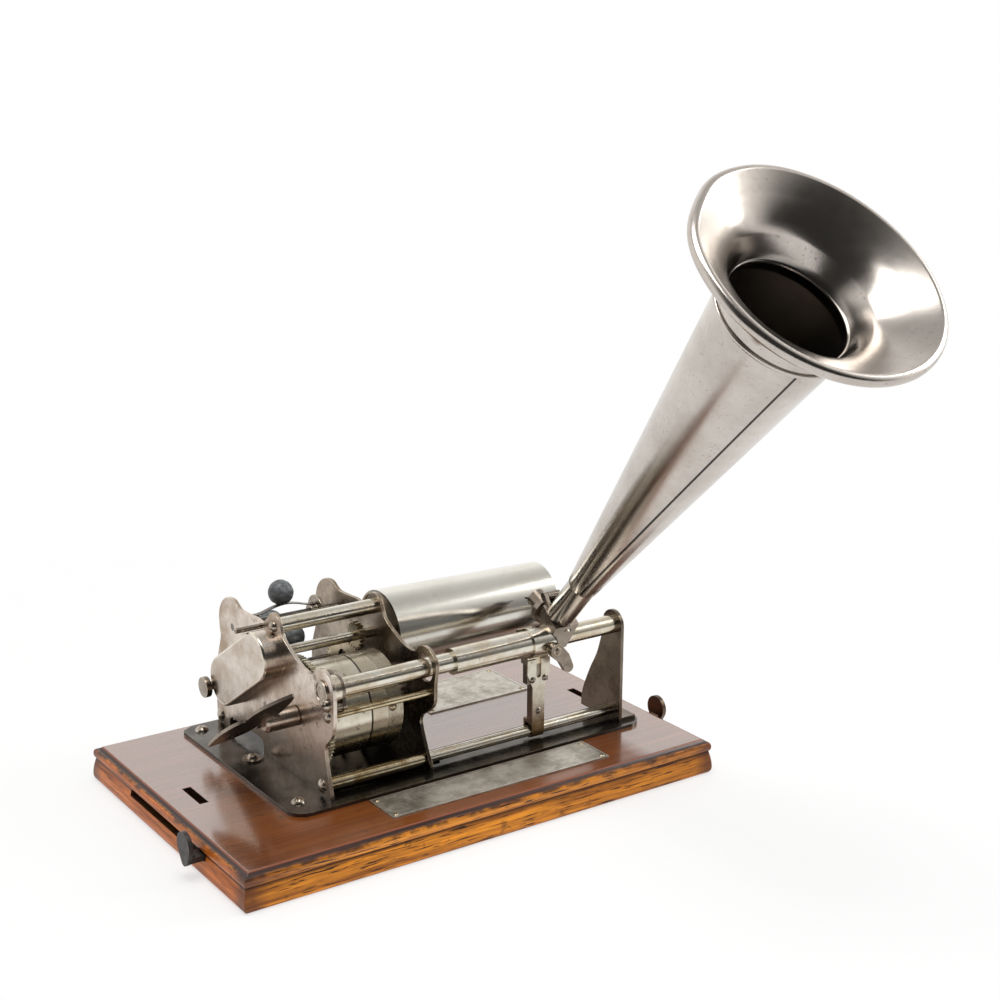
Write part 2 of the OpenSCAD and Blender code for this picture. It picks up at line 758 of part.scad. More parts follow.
module barrel_screws() {
  color("#7a6c55") barrel_screw_places() {
    cylinder(h = 3.4, r = screw_hole_r);
    translate([0, 0, 3.6]) dome(1.2, 2.4);
    translate([0, 0, 3]) cylinder(h = 0.7, r = screw_hole_r);
  }
}
module barrel_gear() {
  color("#8f8474") {
    gear(arbor, barrel_n, 0, barrel_gear_x, gear_t - press_gap, arbor_r + run_gap);
  }
}

// The mainspring is one ribbon wound from the arbor out to the drum
spring_out = drum_r - drum_wall - side_gap;
spring_pitch = (spring_out - spring_t - spring_in) / spring_turns;
function spiral(off) = [for (k = [0:spring_turns * 20])
  polar(spring_in + off + spring_pitch * k / 20, k * 18)];
echo(mainspring_gap = spring_pitch - spring_t);
module mainspring() {
  inner = spiral(0);
  outer = spiral(spring_t);
  color("#4d5660") plate_x(spring_x0, spring_x1 - spring_x0) translate(arbor)
    polygon(concat(outer, [for (i = [len(inner) - 1:-1:0]) inner[i]]));
}

// Going train
module intermediate_shaft() {
  color("#9c917f") {
    rod_x(inter, left_x, mid_out, inter_r);
    gear(inter, inter_pinion_n, inter_phase, barrel_gear_x - 0.3, gear_t + 0.6, inter_r - 0.1);
  }
}
module intermediate_wheel() {
  color("#a8935c") difference() {
    gear(inter, inter_wheel_n, 0, inter_wheel_x, gear_t - 0.4, inter_r + press_gap);
    for (a = [0:72:288])
      rod_x(inter + polar(15.5, a), inter_wheel_x - cut, inter_wheel_x + gear_t, 5.5);
  }
}
module mandrel_shaft() {
  color("#b8ac98") rod_x(mandrel_axis, outer_gear_x - 3, mandrel_x1, shaft_r);
}
module mandrel_pinion() {
  color("#a8935c") gear(mandrel_axis, mandrel_pinion_n, mandrel_phase,
    inter_wheel_x - 0.4, gear_t + 0.4, shaft_r + press_gap);
}
module mandrel_gear() {
  color("#a8935c") gear(mandrel_axis, mandrel_gear_n, 0, outer_gear_x, gear_t, shaft_r + press_gap);
}
module mandrel() {
  web = 3;
  recess = 4;
  color("#d8d6d0") difference() {
    translate([mandrel_x0, mandrel_axis[0], mandrel_axis[1]]) rotate([0, 90, 0])
      cylinder(h = mandrel_l, r1 = mandrel_r0, r2 = mandrel_r1, $fn = 96);
    translate([mandrel_x0 + recess + web, mandrel_axis[0], mandrel_axis[1]]) rotate([0, 90, 0])
      cylinder(h = mandrel_l - recess - 2 * web, r = mandrel_r1 - mandrel_wall);
    rod_x(mandrel_axis, mandrel_x0 - cut, mandrel_x0 + recess, mandrel_r0 - mandrel_wall);
    rod_x(mandrel_axis, mandrel_x0 - cut, mandrel_x1 + cut, shaft_r + press_gap);
  }
}
module idler_stud() {
  color("#8f8474") {
    rod_x(idler, left_x, left_in, inter_r);
    rod_x(idler, outer_gear_x - 2.2, left_x, journal_r);
  }
}
module idler_gear() {
  color("#a8935c") gear(idler, idler_n, idler_phase, outer_gear_x, gear_t, journal_r + run_gap);
}
stud_r = 2;
module counter_stud() {
  color("#8f8474") {
    rod_x(counter, cover_x + cover_wall, mid_in, stud_r);
    rod_x(counter, mid_in, mid_out, screw_hole_r);
  }
}
module counter_sleeve() {
  color("#a8935c") difference() {
    union() {
      rod_x(counter, outer_gear_x, counter_wheel_x + gear_t, sleeve_out_r);
      gear(counter, counter_gear_n, counter_phase, outer_gear_x, gear_t, sleeve_out_r - 0.5);
    }
    rod_x(counter, outer_gear_x - cut, counter_wheel_x + gear_t + cut, stud_r + run_gap);
  }
}
module counter_wheel() {
  color("#a8935c") gear(counter, counter_wheel_n, 0, counter_wheel_x, gear_t - 0.4,
    sleeve_out_r + press_gap);
}

// Pressed cover over the outer gears, held by a thumb screw
cover_top = mandrel_axis + [-0.3, 0];
cover_low = counter + [1.7, -1.1];
module cover_shape(shrink) {
  link(cover_top, cover_r_top - shrink, cover_low, cover_r_low - shrink);
}
module gear_cover() {
  color("#b3a594") difference() {
    plate_x(cover_x, cover_depth) cover_shape(0);
    plate_x(cover_x + cover_wall, cover_depth) cover_shape(cover_wall);
  }
}
thumb_t = 3.4;
thumb_at = cover_low + polar(cover_r_low + 4, -26.5);
thumb_x = cover_x - side_gap;
module cover_thumb_screw() {
  color("#7d7060") {
    rod_x(thumb_at, thumb_x - thumb_t, thumb_x, thumb_r);
    rod_x(thumb_at, thumb_x, left_x - side_gap, 2.4);
    rod_x(thumb_at, left_x - side_gap, left_in, screw_hole_r);
  }
}

// Governor with three balls on bowed leaf springs
gov_pinion_x = counter_wheel_x - 0.6;
collar_x = -57;
disc_x = -21;
disc_t = 2;
ball_x = (collar_x + disc_x) / 2 - 4;
ball_dirs = [92, 212, 332];
spring_w = 3;
leaf_t = 0.5;
collar_len = 4;
collar_out = 4.2;
module governor_shaft() {
  color("#9c917f") {
    rod_x(governor, left_x, mid_out, journal_r);
    gear(governor, governor_n, governor_phase, gov_pinion_x, gear_t + 0.8, journal_r - 0.1);
  }
}
module governor_collars() {
  color("#8a7f6c") difference() {
    union() {
      rod_x(governor, collar_x - collar_len, collar_x, collar_out);
      rod_x(governor, disc_x - collar_len, disc_x, collar_out);
      rod_x(governor, disc_x, disc_x + disc_t, disc_r);
    }
    rod_x(governor, collar_x - collar_len - cut, disc_x + disc_t + cut, journal_r + press_gap);
  }
}
leaf_seat = collar_out + press_gap;
leaf_rise = ball_off - ball_r - leaf_t - leaf_seat + 0.4;
leaf_x0 = collar_x - collar_len + 0.4;
leaf_x1 = disc_x - 0.6;
function leaf_z(x) = leaf_seat + leaf_rise
  * pow(sin(180 * max(0, min(1, (x - collar_x) / (disc_x - collar_len - collar_x)))), 1.2);
module governor_springs() {
  xs = [for (i = [0:14]) leaf_x0 + (leaf_x1 - leaf_x0) * i / 14];
  color("#55524c") for (a = ball_dirs)
    translate([0, governor[0], governor[1]]) rotate([a - 90, 0, 0])
      plate_y(spring_w / 2, spring_w)
        polygon(concat([for (x = xs) [x, leaf_z(x)]],
          [for (i = [len(xs) - 1:-1:0]) [xs[i], leaf_z(xs[i]) + leaf_t]]));
}
module governor_balls() {
  color("#5b5d5f") for (a = ball_dirs)
    translate([0, governor[0], governor[1]]) rotate([a - 90, 0, 0]) {
      difference() {
        translate([ball_x, 0, ball_off]) sphere(ball_r);
        box(ball_x - ball_r, ball_x + ball_r, -ball_r, ball_r, 0,
            leaf_seat + leaf_rise + leaf_t + press_gap);
      }
    }
}

// Brake: a sliding rod presses a pad on the friction disc
brake_x0 = -88.6;
brake_gap = 2.3;
pad_t = 2;
arm_t = 2;
arm_x = disc_x - brake_gap - pad_t - arm_t;
pad_r = 1.4;
pad_at = governor + polar(disc_r - pad_r + 0.2, 166);
module brake_rod() {
  color("#9c917f") {
    rod_x(brake, brake_x0, mid_out + 0.2, brake_r);
    plate_x(arm_x, arm_t) link(brake, brake_r + 1.6, pad_at, pad_r + 0.4);
  }
}
module brake_pad() {
  color("#5a3a22") rod_x(pad_at, arm_x + arm_t, arm_x + arm_t + pad_t, pad_r);
}

// Feed screw inside the tube, turned by a pinion on the barrel gear
module feed_screw() {
  color("#7f776a") {
    rod_x(tube, left_x - cap_t / 2, bracket_x - 0.5, journal_r);
    rod_x(tube, yoke_x, bracket_x - 2.4, screw_r);
    gear(tube, feed_n, feed_phase, barrel_gear_x - 0.3, gear_t + 0.6, journal_r - 0.1);
  }
}

// Carriage on the feed tube
nut_w = 10;
nut_h = 2.6;
lever_pivot = [66.5, tube[1] - 2.8];
lever_y = tube[0] - collar_r - 0.7;
lever_t = 4;
lever_gap = 0.2;
stub_r = 1.4;
boss_r = 3.4;
stub_l = 4;
module carriage_sleeve() {
  color("#c9bda6") difference() {
    union() {
      rod_x(tube, sleeve_x0, sleeve_x1, sleeve_r);
      rod_x(tube, sleeve_x1, collar_x1, collar_r);
      box(leg_x - leg_w / 2 - 3, leg_x + leg_w / 2 + 3, leg_y1, leg_y1 + 6.4,
          tube[1] - 13, tube[1]);
      translate([lever_pivot[0], tube[0], lever_pivot[1]]) rotate([90, 0, 0])
        cylinder(h = tube[0] - lever_y, r = boss_r);
    }
    translate([lever_pivot[0], lever_y + stub_l, lever_pivot[1]]) rotate([90, 0, 0])
      cylinder(h = stub_l + cut, r = stub_r + run_gap);
    rod_x(tube, sleeve_x0 - cut, collar_x1 + cut, tube_r + run_gap);
    box(leg_x - nut_w / 2 - side_gap, leg_x + nut_w / 2 + side_gap, tube[0],
        tube[0] + collar_r + cut, tube[1] - nut_h / 2 - side_gap, tube[1] + nut_h / 2 + side_gap);
  }
}
module half_nut() {
  color("#a8935c") {
    box(leg_x - nut_w / 2, leg_x + nut_w / 2, tube[0] + screw_r + side_gap,
        tube[0] + collar_r + 3.4, tube[1] - nut_h / 2, tube[1] + nut_h / 2);
    box(leg_x - nut_w / 2, leg_x + nut_w / 2, tube[0] + collar_r + 3.4,
        tube[0] + collar_r + 5, tube[1] - 4, tube[1] + 4);
  }
}

// Leg: a bar with a front leaf that clips on the guide rod
leg_y1 = guide[0] - guide_r - guide_gap;
leaf_leg_t = 0.9;
leg_top = tube[1] - 13;
leg_low = guide[1] + guide_r + 1.6;
rivet_r = 1.5;
rivets = [[leg_x - 4.1, deck + 38.6], [leg_x + 4.1, deck + 38.6], [leg_x, deck + 19.5]];
module carriage_leg() {
  color("#8b8073") {
    box(leg_x - leg_w / 2, leg_x + leg_w / 2, leg_y1, leg_y1 + 4.6, leg_low, leg_top);
    box(leg_x - leg_w / 2 - 3, leg_x + leg_w / 2 + 3, leg_y1, leg_y1 + 4.6, deck + 36, leg_top);
    box(leg_x - leg_w / 2, leg_x + leg_w / 2, guide[0] + guide_r + guide_gap,
        guide[0] + guide_r + guide_gap + 1.6, guide[1] - 2, leg_low + 2);
    box(leg_x - leg_w / 2, leg_x + leg_w / 2, leg_y1 + 4, guide[0] + guide_r + guide_gap + 1.6,
        leg_low, leg_low + 2);
    plate_y(leg_y1 + press_gap, leaf_leg_t + 2 * press_gap) for (p = rivets) dot(p, rivet_r);
    for (p = rivets)
      translate([p[0], leg_y1 - leaf_leg_t - press_gap, p[1]]) rotate([90, 0, 0])
        dome(0.8, rivet_r + 0.5);
  }
}
module leg_clip() {
  half = leg_w / 2;
  clip_in = guide_r + guide_gap;
  color("#d9cdb4") {
    plate_y(leg_y1, leaf_leg_t) difference() {
      polygon([[leg_x - half, guide[1]], [leg_x + half, guide[1]], [leg_x + half, deck + 34],
               [leg_x + half + 3.6, deck + 42], [leg_x + half + 3.6, tube[1] - 10],
               [leg_x - half - 3.6, tube[1] - 10], [leg_x - half - 3.6, deck + 42],
               [leg_x - half, deck + 34]]);
      translate([leg_x - 1.6, deck + 41]) square([3.2, 20]);
      dot([leg_x, deck + 41], 1.6);
      for (p = rivets) dot(p, rivet_r + press_gap);
    }
    difference() {
      rod_x(guide, leg_x - half, leg_x + half, clip_in + leaf_leg_t);
      rod_x(guide, leg_x - half - cut, leg_x + half + cut, clip_in);
      box(leg_x - half - cut, leg_x + half + cut, guide[0], guide[0] + 3 * guide_r,
          guide[1] - 3 * guide_r, guide[1] + 3 * guide_r);
      box(leg_x - half - cut, leg_x + half + cut, guide[0] - 3 * guide_r, guide[0] + cut,
          guide[1], guide[1] + 3 * guide_r);
    }
  }
}
lever_tip = [74.6, tube[1] - 13.7];
lever_mid = (lever_pivot + lever_tip) / 2 + [1, 0.6];
module thumb_lever() {
  color("#8f8376") {
    plate_y(lever_y - lever_gap, lever_t) {
      link(lever_pivot, 4.2, lever_mid, 3.6);
      link(lever_mid, 3.6, lever_tip, 3.1);
    }
    translate([lever_pivot[0], lever_y - lever_gap - lever_t, lever_pivot[1]]) rotate([90, 0, 0])
      dome(0.7, 2.2);
    translate([lever_pivot[0], lever_y + stub_l - lever_gap, lever_pivot[1]]) rotate([90, 0, 0])
      cylinder(h = stub_l, r = stub_r);
  }
}

// Horn bracket: a wedge from the collar up to a square flange with a spigot
module in_horn() {
  translate([horn_x, horn_seat[0], horn_seat[1]]) rotate([horn_lean, 0, 0]) children();
}
flange_t = 1.6;
wedge_y = tube[0] - collar_r - 0.5;
spigot_r = neck_r - 1.1;
spigot_l = 14;
throat_r = 4.4;
reproducer_tilt = 65.7;
reproducer_at = [horn_seat[0] + 12.6, horn_seat[1] - 1.2];
module in_reproducer() {
  translate([horn_x, reproducer_at[0], reproducer_at[1]]) rotate([-reproducer_tilt, 0, 0]) children();
}
capsule_r = 9;
capsule_t = 3.2;
seat_gap = 0.3;
seat_r = 6;
seat_l = 9;
hinge_hub_r = 2;
hinge_pin_r = 1.1;
hinge_half = 3;
lug_t = 2.2;
function reproducer_point(d, up) = reproducer_at
  + d * [sin(reproducer_tilt), cos(reproducer_tilt)]
  + up * [-cos(reproducer_tilt), sin(reproducer_tilt)];
hinge_at = reproducer_point(capsule_t / 2, capsule_r + hinge_hub_r - 0.6);
module hinge_lugs() {
  difference() {
    for (s = [-1, 1])
      plate_x(horn_x + s * (hinge_half + side_gap + lug_t / 2) - lug_t / 2, lug_t)
        link(reproducer_point(-seat_l, 3), 3, hinge_at, hinge_hub_r);
    in_reproducer() translate([0, 0, -1.2]) cylinder(h = 7.2, r = capsule_r + 1);
  }
}
module horn_bracket() {
  color("#7d7166") difference() {
    union() {
      difference() {
        union() {
          in_reproducer() translate([0, 0, -seat_l - seat_gap]) cylinder(h = seat_l, r = seat_r);
          hinge_lugs();
        }
        in_horn() cylinder(h = 60, r = neck_r + 0.4);
      }
      rod_x(hinge_at, horn_x - hinge_half - side_gap - lug_t, horn_x + hinge_half + side_gap + lug_t,
            hinge_pin_r);
      hull() {
        in_horn() translate([-flange_side / 2, -flange_side / 2, -flange_t])
          cube([flange_side, flange_side, flange_t]);
        box(collar_x1 - 6, collar_x1, tube[0] - 6, tube[0] + 6, tube[1] - 3, tube[1]);
        box(collar_x1 - 1.6, collar_x1 + 3, wedge_y, wedge_y + 1, tube[1] - 3.2, tube[1]);
      }
      in_horn() cylinder(h = spigot_l, r = spigot_r);
    }
    translate([lever_pivot[0], tube[0], lever_pivot[1]]) rotate([90, 0, 0])
      cylinder(h = 12, r = boss_r + side_gap);
    rod_x(tube, collar_x1 - 8, horn_x + flange_side, collar_r + press_gap);
    in_horn() translate([0, 0, -4]) cylinder(h = spigot_l + 8, r = throat_r);
    in_reproducer() translate([0, 0, -20]) cylinder(h = 60, r = 3);
  }
}

// Reproducer: capsule with a stylus that reaches the record's surface
nose_r = 5.8;
nose_l = 9;
nose_wall = 1.2;
diaphragm_r = 7;
diaphragm_t = 0.4;
face_t = 1;
record_r = 28.4;
stylus_t = 1.2;
stylus_wire_r = 0.4;
stylus_knee = capsule_t + nose_l - 3;
module reproducer() {
  color("#8c7f70") difference() {
    union() {
      in_reproducer() cylinder(h = capsule_t, r = capsule_r);
      in_reproducer() translate([0, 0, capsule_t]) cylinder(h = nose_l, r = nose_r);
      rod_x(hinge_at, horn_x - hinge_half, horn_x + hinge_half, hinge_hub_r);
    }
    rod_x(hinge_at, horn_x - hinge_half - cut, horn_x + hinge_half + cut, hinge_pin_r + run_gap);
    in_reproducer() {
      translate([0, 0, -cut]) cylinder(h = capsule_t, r = 2.6);
      translate([0, 0, face_t]) cylinder(h = capsule_t - 2 * face_t + 0.4, r = diaphragm_r);
      translate([0, 0, face_t]) cylinder(h = capsule_t + nose_l, r = nose_r - nose_wall);
    }
  }
}
module diaphragm() {
  color("#d9d2c0") in_reproducer() translate([0, 0, face_t])
    cylinder(h = diaphragm_t, r = diaphragm_r - press_gap);
}
module stylus() {
  tip = mandrel_axis + polar(record_r, 157);
  color("#55504a") {
    in_reproducer() translate([0, 0, face_t + diaphragm_t])
      cylinder(h = stylus_knee - face_t - diaphragm_t, r = stylus_wire_r);
    plate_x(horn_x - stylus_t / 2, stylus_t) link(reproducer_point(stylus_knee, 0), 0.9, tip, 0.5);
  }
}

// Horn: neck, cone, bead ring and flared bell turned about one axis
bead_r = 1.3;
cone_r0 = neck_r + 0.3;
module turned() {
  in_horn() rotate_extrude($fn = 96) children();
}
module horn_cone() {
  z1 = neck_l + cone_l;
  color("#bdb7ad") turned() polygon([
    [spigot_r + run_gap, 0.3], [neck_r, 0.3], [neck_r, neck_l], [cone_r0 + 0.3, neck_l],
    [cone_r, z1], [cone_r - horn_wall, z1], [cone_r0 - horn_wall, neck_l + 2],
    [spigot_r + run_gap, neck_l - 2]
  ]);
}
bell_steps = 16;
flare = 2.4;
function bell_r(s) = cone_r + (rim_r - bead_r - cone_r) * pow(s, flare) * (0.55 + 0.45 * s);
module horn_bell() {
  z1 = neck_l + cone_l;
  curve = [for (i = [0:bell_steps]) [bell_r(i / bell_steps), z1 + bell_l * i / bell_steps]];
  color("#c4bfb6") turned() {
    polygon(concat(curve,
      [for (i = [bell_steps:-1:0]) curve[i] - [horn_wall, -horn_wall * i / bell_steps]]));
    dot([cone_r + bead_r * 0.5, z1 + bead_r], bead_r);
    dot([rim_r - bead_r, z1 + bell_l], bead_r);
  }
}

top_board();
plinth_board();
left_catch();
right_catch();
name_plates();
name_plate_pins();
bedplate();
bedplate_screws();
left_motor_plate();
middle_motor_plate();
end_bracket();
top_pillar();
tie_rods();
spacer_rod();
guide_rod();
frame_screws();
tube_yoke();
bearing_cap();
feed_tube();
winding_arbor();
winding_key();
key_pin();
ratchet_wheel();
click();
barrel_drum();
barrel_cover();
barrel_screws();
barrel_gear();
mainspring();
intermediate_shaft();
intermediate_wheel();
mandrel_shaft();
mandrel_pinion();
mandrel_gear();
mandrel();
idler_stud();
idler_gear();
counter_stud();
counter_sleeve();
counter_wheel();
gear_cover();
cover_thumb_screw();
governor_shaft();
governor_collars();
governor_springs();
governor_balls();
brake_rod();
brake_pad();
feed_screw();
carriage_sleeve();
horn_bracket();
carriage_leg();
leg_clip();
half_nut();
thumb_lever();
reproducer();
diaphragm();
stylus();
horn_cone();
horn_bell();
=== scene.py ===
# %% [markdown]
# # A key-wound cylinder phonograph
# The works of this machine were built as exact solids in a CAD model. This lesson dresses them for a
# picture: it softens edges, turns the horn from fine profiles, and gives every piece a finish with
# grain, stains and wear. The solids come in as a fixed frame, so nothing has to be fitted by eye.

# %% Load the works
import bpy
import bmesh
import json
from math import atan2, cos, degrees, exp, pi, radians, sin
from mathutils import Euler, Matrix, Vector, noise

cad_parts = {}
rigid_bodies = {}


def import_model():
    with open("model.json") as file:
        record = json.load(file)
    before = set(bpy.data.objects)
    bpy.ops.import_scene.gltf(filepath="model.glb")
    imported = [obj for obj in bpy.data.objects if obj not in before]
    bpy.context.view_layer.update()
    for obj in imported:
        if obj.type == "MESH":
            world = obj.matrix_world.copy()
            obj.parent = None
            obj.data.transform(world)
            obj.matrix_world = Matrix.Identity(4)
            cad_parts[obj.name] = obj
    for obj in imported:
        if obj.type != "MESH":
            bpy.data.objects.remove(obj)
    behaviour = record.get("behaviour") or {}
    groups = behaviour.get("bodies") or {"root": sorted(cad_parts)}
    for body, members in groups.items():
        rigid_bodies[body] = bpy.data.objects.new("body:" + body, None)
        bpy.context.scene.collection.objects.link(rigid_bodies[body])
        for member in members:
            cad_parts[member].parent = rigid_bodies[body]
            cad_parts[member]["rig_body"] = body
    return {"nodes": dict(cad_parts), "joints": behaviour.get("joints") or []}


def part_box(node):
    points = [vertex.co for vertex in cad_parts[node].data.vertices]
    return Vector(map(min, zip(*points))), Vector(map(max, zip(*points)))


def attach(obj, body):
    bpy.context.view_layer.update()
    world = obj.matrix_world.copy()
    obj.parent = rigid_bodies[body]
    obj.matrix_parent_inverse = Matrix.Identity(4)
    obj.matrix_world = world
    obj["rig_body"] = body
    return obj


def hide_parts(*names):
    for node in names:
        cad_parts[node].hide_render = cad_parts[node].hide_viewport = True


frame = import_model()
solids = frame["nodes"]
joints = {joint["name"]: joint for joint in frame["joints"]}
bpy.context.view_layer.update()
MM = 0.001
studio = bpy.context.scene

# %% [markdown]
# ## Camera
# The photograph was taken from the left front corner, a little above the works. The lens, the place and
# the angles were worked out from the base's corners, so the picture needs no shift.

# %% Camera
EYE_PLACE = (-0.4694, -0.7718, 0.4077)
EYE_LENS, EYE_SENSOR = 62.06, 36.0
EYE_DIP, EYE_TURN, EYE_ROLL = 15.24, -34.7, 0.25
eye = bpy.data.cameras.new("photo_eye")
eye.lens = EYE_LENS
eye.sensor_width = EYE_SENSOR
eye.clip_start = 0.01
eye_stand = bpy.data.objects.new("photo_eye", eye)
eye_stand.location = EYE_PLACE
aim = Euler((radians(90 - EYE_DIP), 0, radians(EYE_TURN))).to_matrix()
roll = Matrix.Rotation(radians(EYE_ROLL), 3, "Z")
eye_stand.rotation_euler = (aim @ roll).to_euler()
studio.collection.objects.link(eye_stand)
studio.camera = eye_stand
print("camera looks along", [round(v, 3) for v in aim @ Vector((0, 0, -1))])

# %% [markdown]
# ## Node trees in few words
# A finish is a tree of shader nodes. A few small helpers keep each tree readable: one adds a node with its
# settings, and the others mix two colours, rescale a value and do sums. A colour is three numbers, and its
# opacity of 1 is added where it goes into a socket.

# %% Helpers for node trees
def connect(tree, socket, value):
    if isinstance(value, bpy.types.NodeSocket):
        tree.links.new(value, socket)
    elif socket.type == "RGBA":
        socket.default_value = (*value, 1.0)
    else:
        socket.default_value = value


def add_node(tree, kind, inputs=None, **settings):
    node = tree.nodes.new(kind)
    for key, value in settings.items():
        setattr(node, key, value)
    for key, value in (inputs or {}).items():
        connect(tree, node.inputs[key], value)
    return node


def blend_colours(tree, share, first, second):
    mix = add_node(tree, "ShaderNodeMix", data_type="RGBA")
    for socket, value in ((mix.inputs[0], share), (mix.inputs[6], first), (mix.inputs[7], second)):
        connect(tree, socket, value)
    return mix.outputs[2]


def rescale(tree, value, low, high, to_low=0.0, to_high=1.0):
    node = add_node(tree, "ShaderNodeMapRange", {"Value": value, "From Min": low, "From Max": high,
                                                 "To Min": to_low, "To Max": to_high})
    return node.outputs["Result"]


def calculate(tree, what, first, second=0.0):
    node = add_node(tree, "ShaderNodeMath", operation=what)
    for socket, value in zip(node.inputs, (first, second)):
        connect(tree, socket, value)
    return node.outputs[0]


def times(tree, first, second):
    return calculate(tree, "MULTIPLY", first, second)


print("helpers for node trees ready")

# %% [markdown]
# ## Studio
# The picture is a bright catalogue shot on a white sweep. Nickel only looks like metal when it has something
# dark to mirror, so the room that the metal mirrors is white behind the machine, dark on the camera's side
# and dimmer overhead. Matt surfaces get an even light from all round, and the camera sees plain white.

# %% White room
LIGHT_SIDE = (0.48, 1.0, 0.0)
DARK_BEFORE, WHITE_AFTER = -0.60, -0.20
DARK_GLOW, WHITE_GLOW, EVEN_GLOW = 0.03, 1.1, 0.62
DIM_FROM, DIM_TO, DIM_SHARE = 0.55, 0.92, 0.42
room = bpy.data.worlds.new("white_room")
studio.world = room
room.use_nodes = True
tree = room.node_tree
tree.nodes.clear()
where = add_node(tree, "ShaderNodeTexCoord")
facing = add_node(tree, "ShaderNodeVectorMath", {0: where.outputs["Generated"], 1: LIGHT_SIDE},
                  operation="DOT_PRODUCT")
mirrored = rescale(tree, facing.outputs["Value"], DARK_BEFORE, WHITE_AFTER, DARK_GLOW, WHITE_GLOW)
height = add_node(tree, "ShaderNodeSeparateXYZ", {0: where.outputs["Generated"]}).outputs["Z"]
overhead = rescale(tree, height, DIM_FROM, DIM_TO, 1.0, DIM_SHARE)
mirrored = times(tree, mirrored, overhead)
ray = add_node(tree, "ShaderNodeLightPath")
even = calculate(tree, "SUBTRACT", 1.0, ray.outputs["Is Glossy Ray"])
mirrored = times(tree, mirrored, ray.outputs["Is Glossy Ray"])
glow = calculate(tree, "ADD", mirrored, times(tree, even, EVEN_GLOW))
straight = calculate(tree, "MAXIMUM", ray.outputs["Is Camera Ray"], ray.outputs["Is Transmission Ray"])
soft_room = add_node(tree, "ShaderNodeBackground", {"Color": (1, 0.99, 0.975), "Strength": glow})
plain_white = add_node(tree, "ShaderNodeBackground", {"Color": (1, 1, 1), "Strength": 1.0})
choice = add_node(tree, "ShaderNodeMixShader", {0: straight, 1: soft_room.outputs[0],
                                                2: plain_white.outputs[0]})
add_node(tree, "ShaderNodeOutputWorld", {"Surface": choice.outputs[0]})
print("room is white behind the works, dark in front of them and dimmer overhead")

# %% [markdown]
# Two soft lamps shape the works: a broad box overhead and a window on the right.

# %% Lamps
def soft_light(name, place, target, size, watts):
    lamp = bpy.data.lights.new(name, "AREA")
    lamp.shape = "RECTANGLE"
    lamp.size, lamp.size_y = size
    lamp.energy = watts
    stand = bpy.data.objects.new(name, lamp)
    stand.location = place
    stand.rotation_euler = (Vector(target) - Vector(place)).to_track_quat("-Z", "Y").to_euler()
    studio.collection.objects.link(stand)


soft_light("overhead_softbox", (-0.15, -0.10, 1.30), (0, 0, 0.05), (0.8, 0.6), 8.0)
soft_light("right_window", (1.10, -0.45, 0.75), (0.05, -0.05, 0.12), (0.4, 0.7), 5.0)
print("two soft lamps")

# %% [markdown]
# ## Floor
# The sweep is a plain pale sheet. Part of what the camera sees of it is its own white, and that part grows
# with the distance, so the ground runs into the white room while the shadow by the base still shows.

# %% Floor
WHITE_NEAR, WHITE_FAR, WHITE_LEAST = 0.15, 0.60, 0.62
ground = bmesh.new()
bmesh.ops.create_grid(ground, x_segments=2, y_segments=2, size=3.0)
sheet = bpy.data.meshes.new("sweep")
ground.to_mesh(sheet)
ground.free()
floor = bpy.data.objects.new("sweep", sheet)
studio.collection.objects.link(floor)
paper = bpy.data.materials.new("sweep_paper")
paper.use_nodes = True
tree = paper.node_tree
tree.nodes.clear()
lit = add_node(tree, "ShaderNodeBsdfDiffuse", {"Color": (0.93, 0.93, 0.93)})
own = add_node(tree, "ShaderNodeEmission", {"Color": (1, 1, 1), "Strength": 1.0})
ray = add_node(tree, "ShaderNodeLightPath")
seen = calculate(tree, "MAXIMUM", ray.outputs["Is Camera Ray"], ray.outputs["Is Glossy Ray"])
place = add_node(tree, "ShaderNodeTexCoord").outputs["Object"]
distance = add_node(tree, "ShaderNodeVectorMath", {0: place}, operation="LENGTH").outputs["Value"]
share = times(tree, seen, rescale(tree, distance, WHITE_NEAR, WHITE_FAR, WHITE_LEAST, 1.0))
mixed = add_node(tree, "ShaderNodeMixShader", {0: share, 1: lit.outputs[0], 2: own.outputs[0]})
add_node(tree, "ShaderNodeOutputMaterial", {"Surface": mixed.outputs[0]})
sheet.materials.append(paper)
print("floor is", round(sheet.vertices[0].co.length, 2), "m to its corner")

# %% [markdown]
# ## Shared effects
# Old plated metal is never one colour: it has broad dull clouds, small brown freckles, and thin scratches.
# These effects are node groups, made once. Each puts out masks, and a finish decides what to do with them.

# %% Group: tarnish
def start_group(name, inputs):
    group = bpy.data.node_groups.new(name, "ShaderNodeTree")
    for label, default in inputs:
        socket = group.interface.new_socket(label, in_out="INPUT", socket_type="NodeSocketFloat")
        socket.default_value = default
    return group, add_node(group, "NodeGroupInput").outputs


def put_out(group, **masks):
    for label in masks:
        group.interface.new_socket(label, in_out="OUTPUT", socket_type="NodeSocketFloat")
    add_node(group, "NodeGroupOutput", masks)


def noise_value(tree, place, scale, detail=4.0, rough=0.55):
    node = add_node(tree, "ShaderNodeTexNoise", {"Vector": place, "Scale": scale, "Detail": detail,
                                                 "Roughness": rough})
    return node.outputs["Fac"]


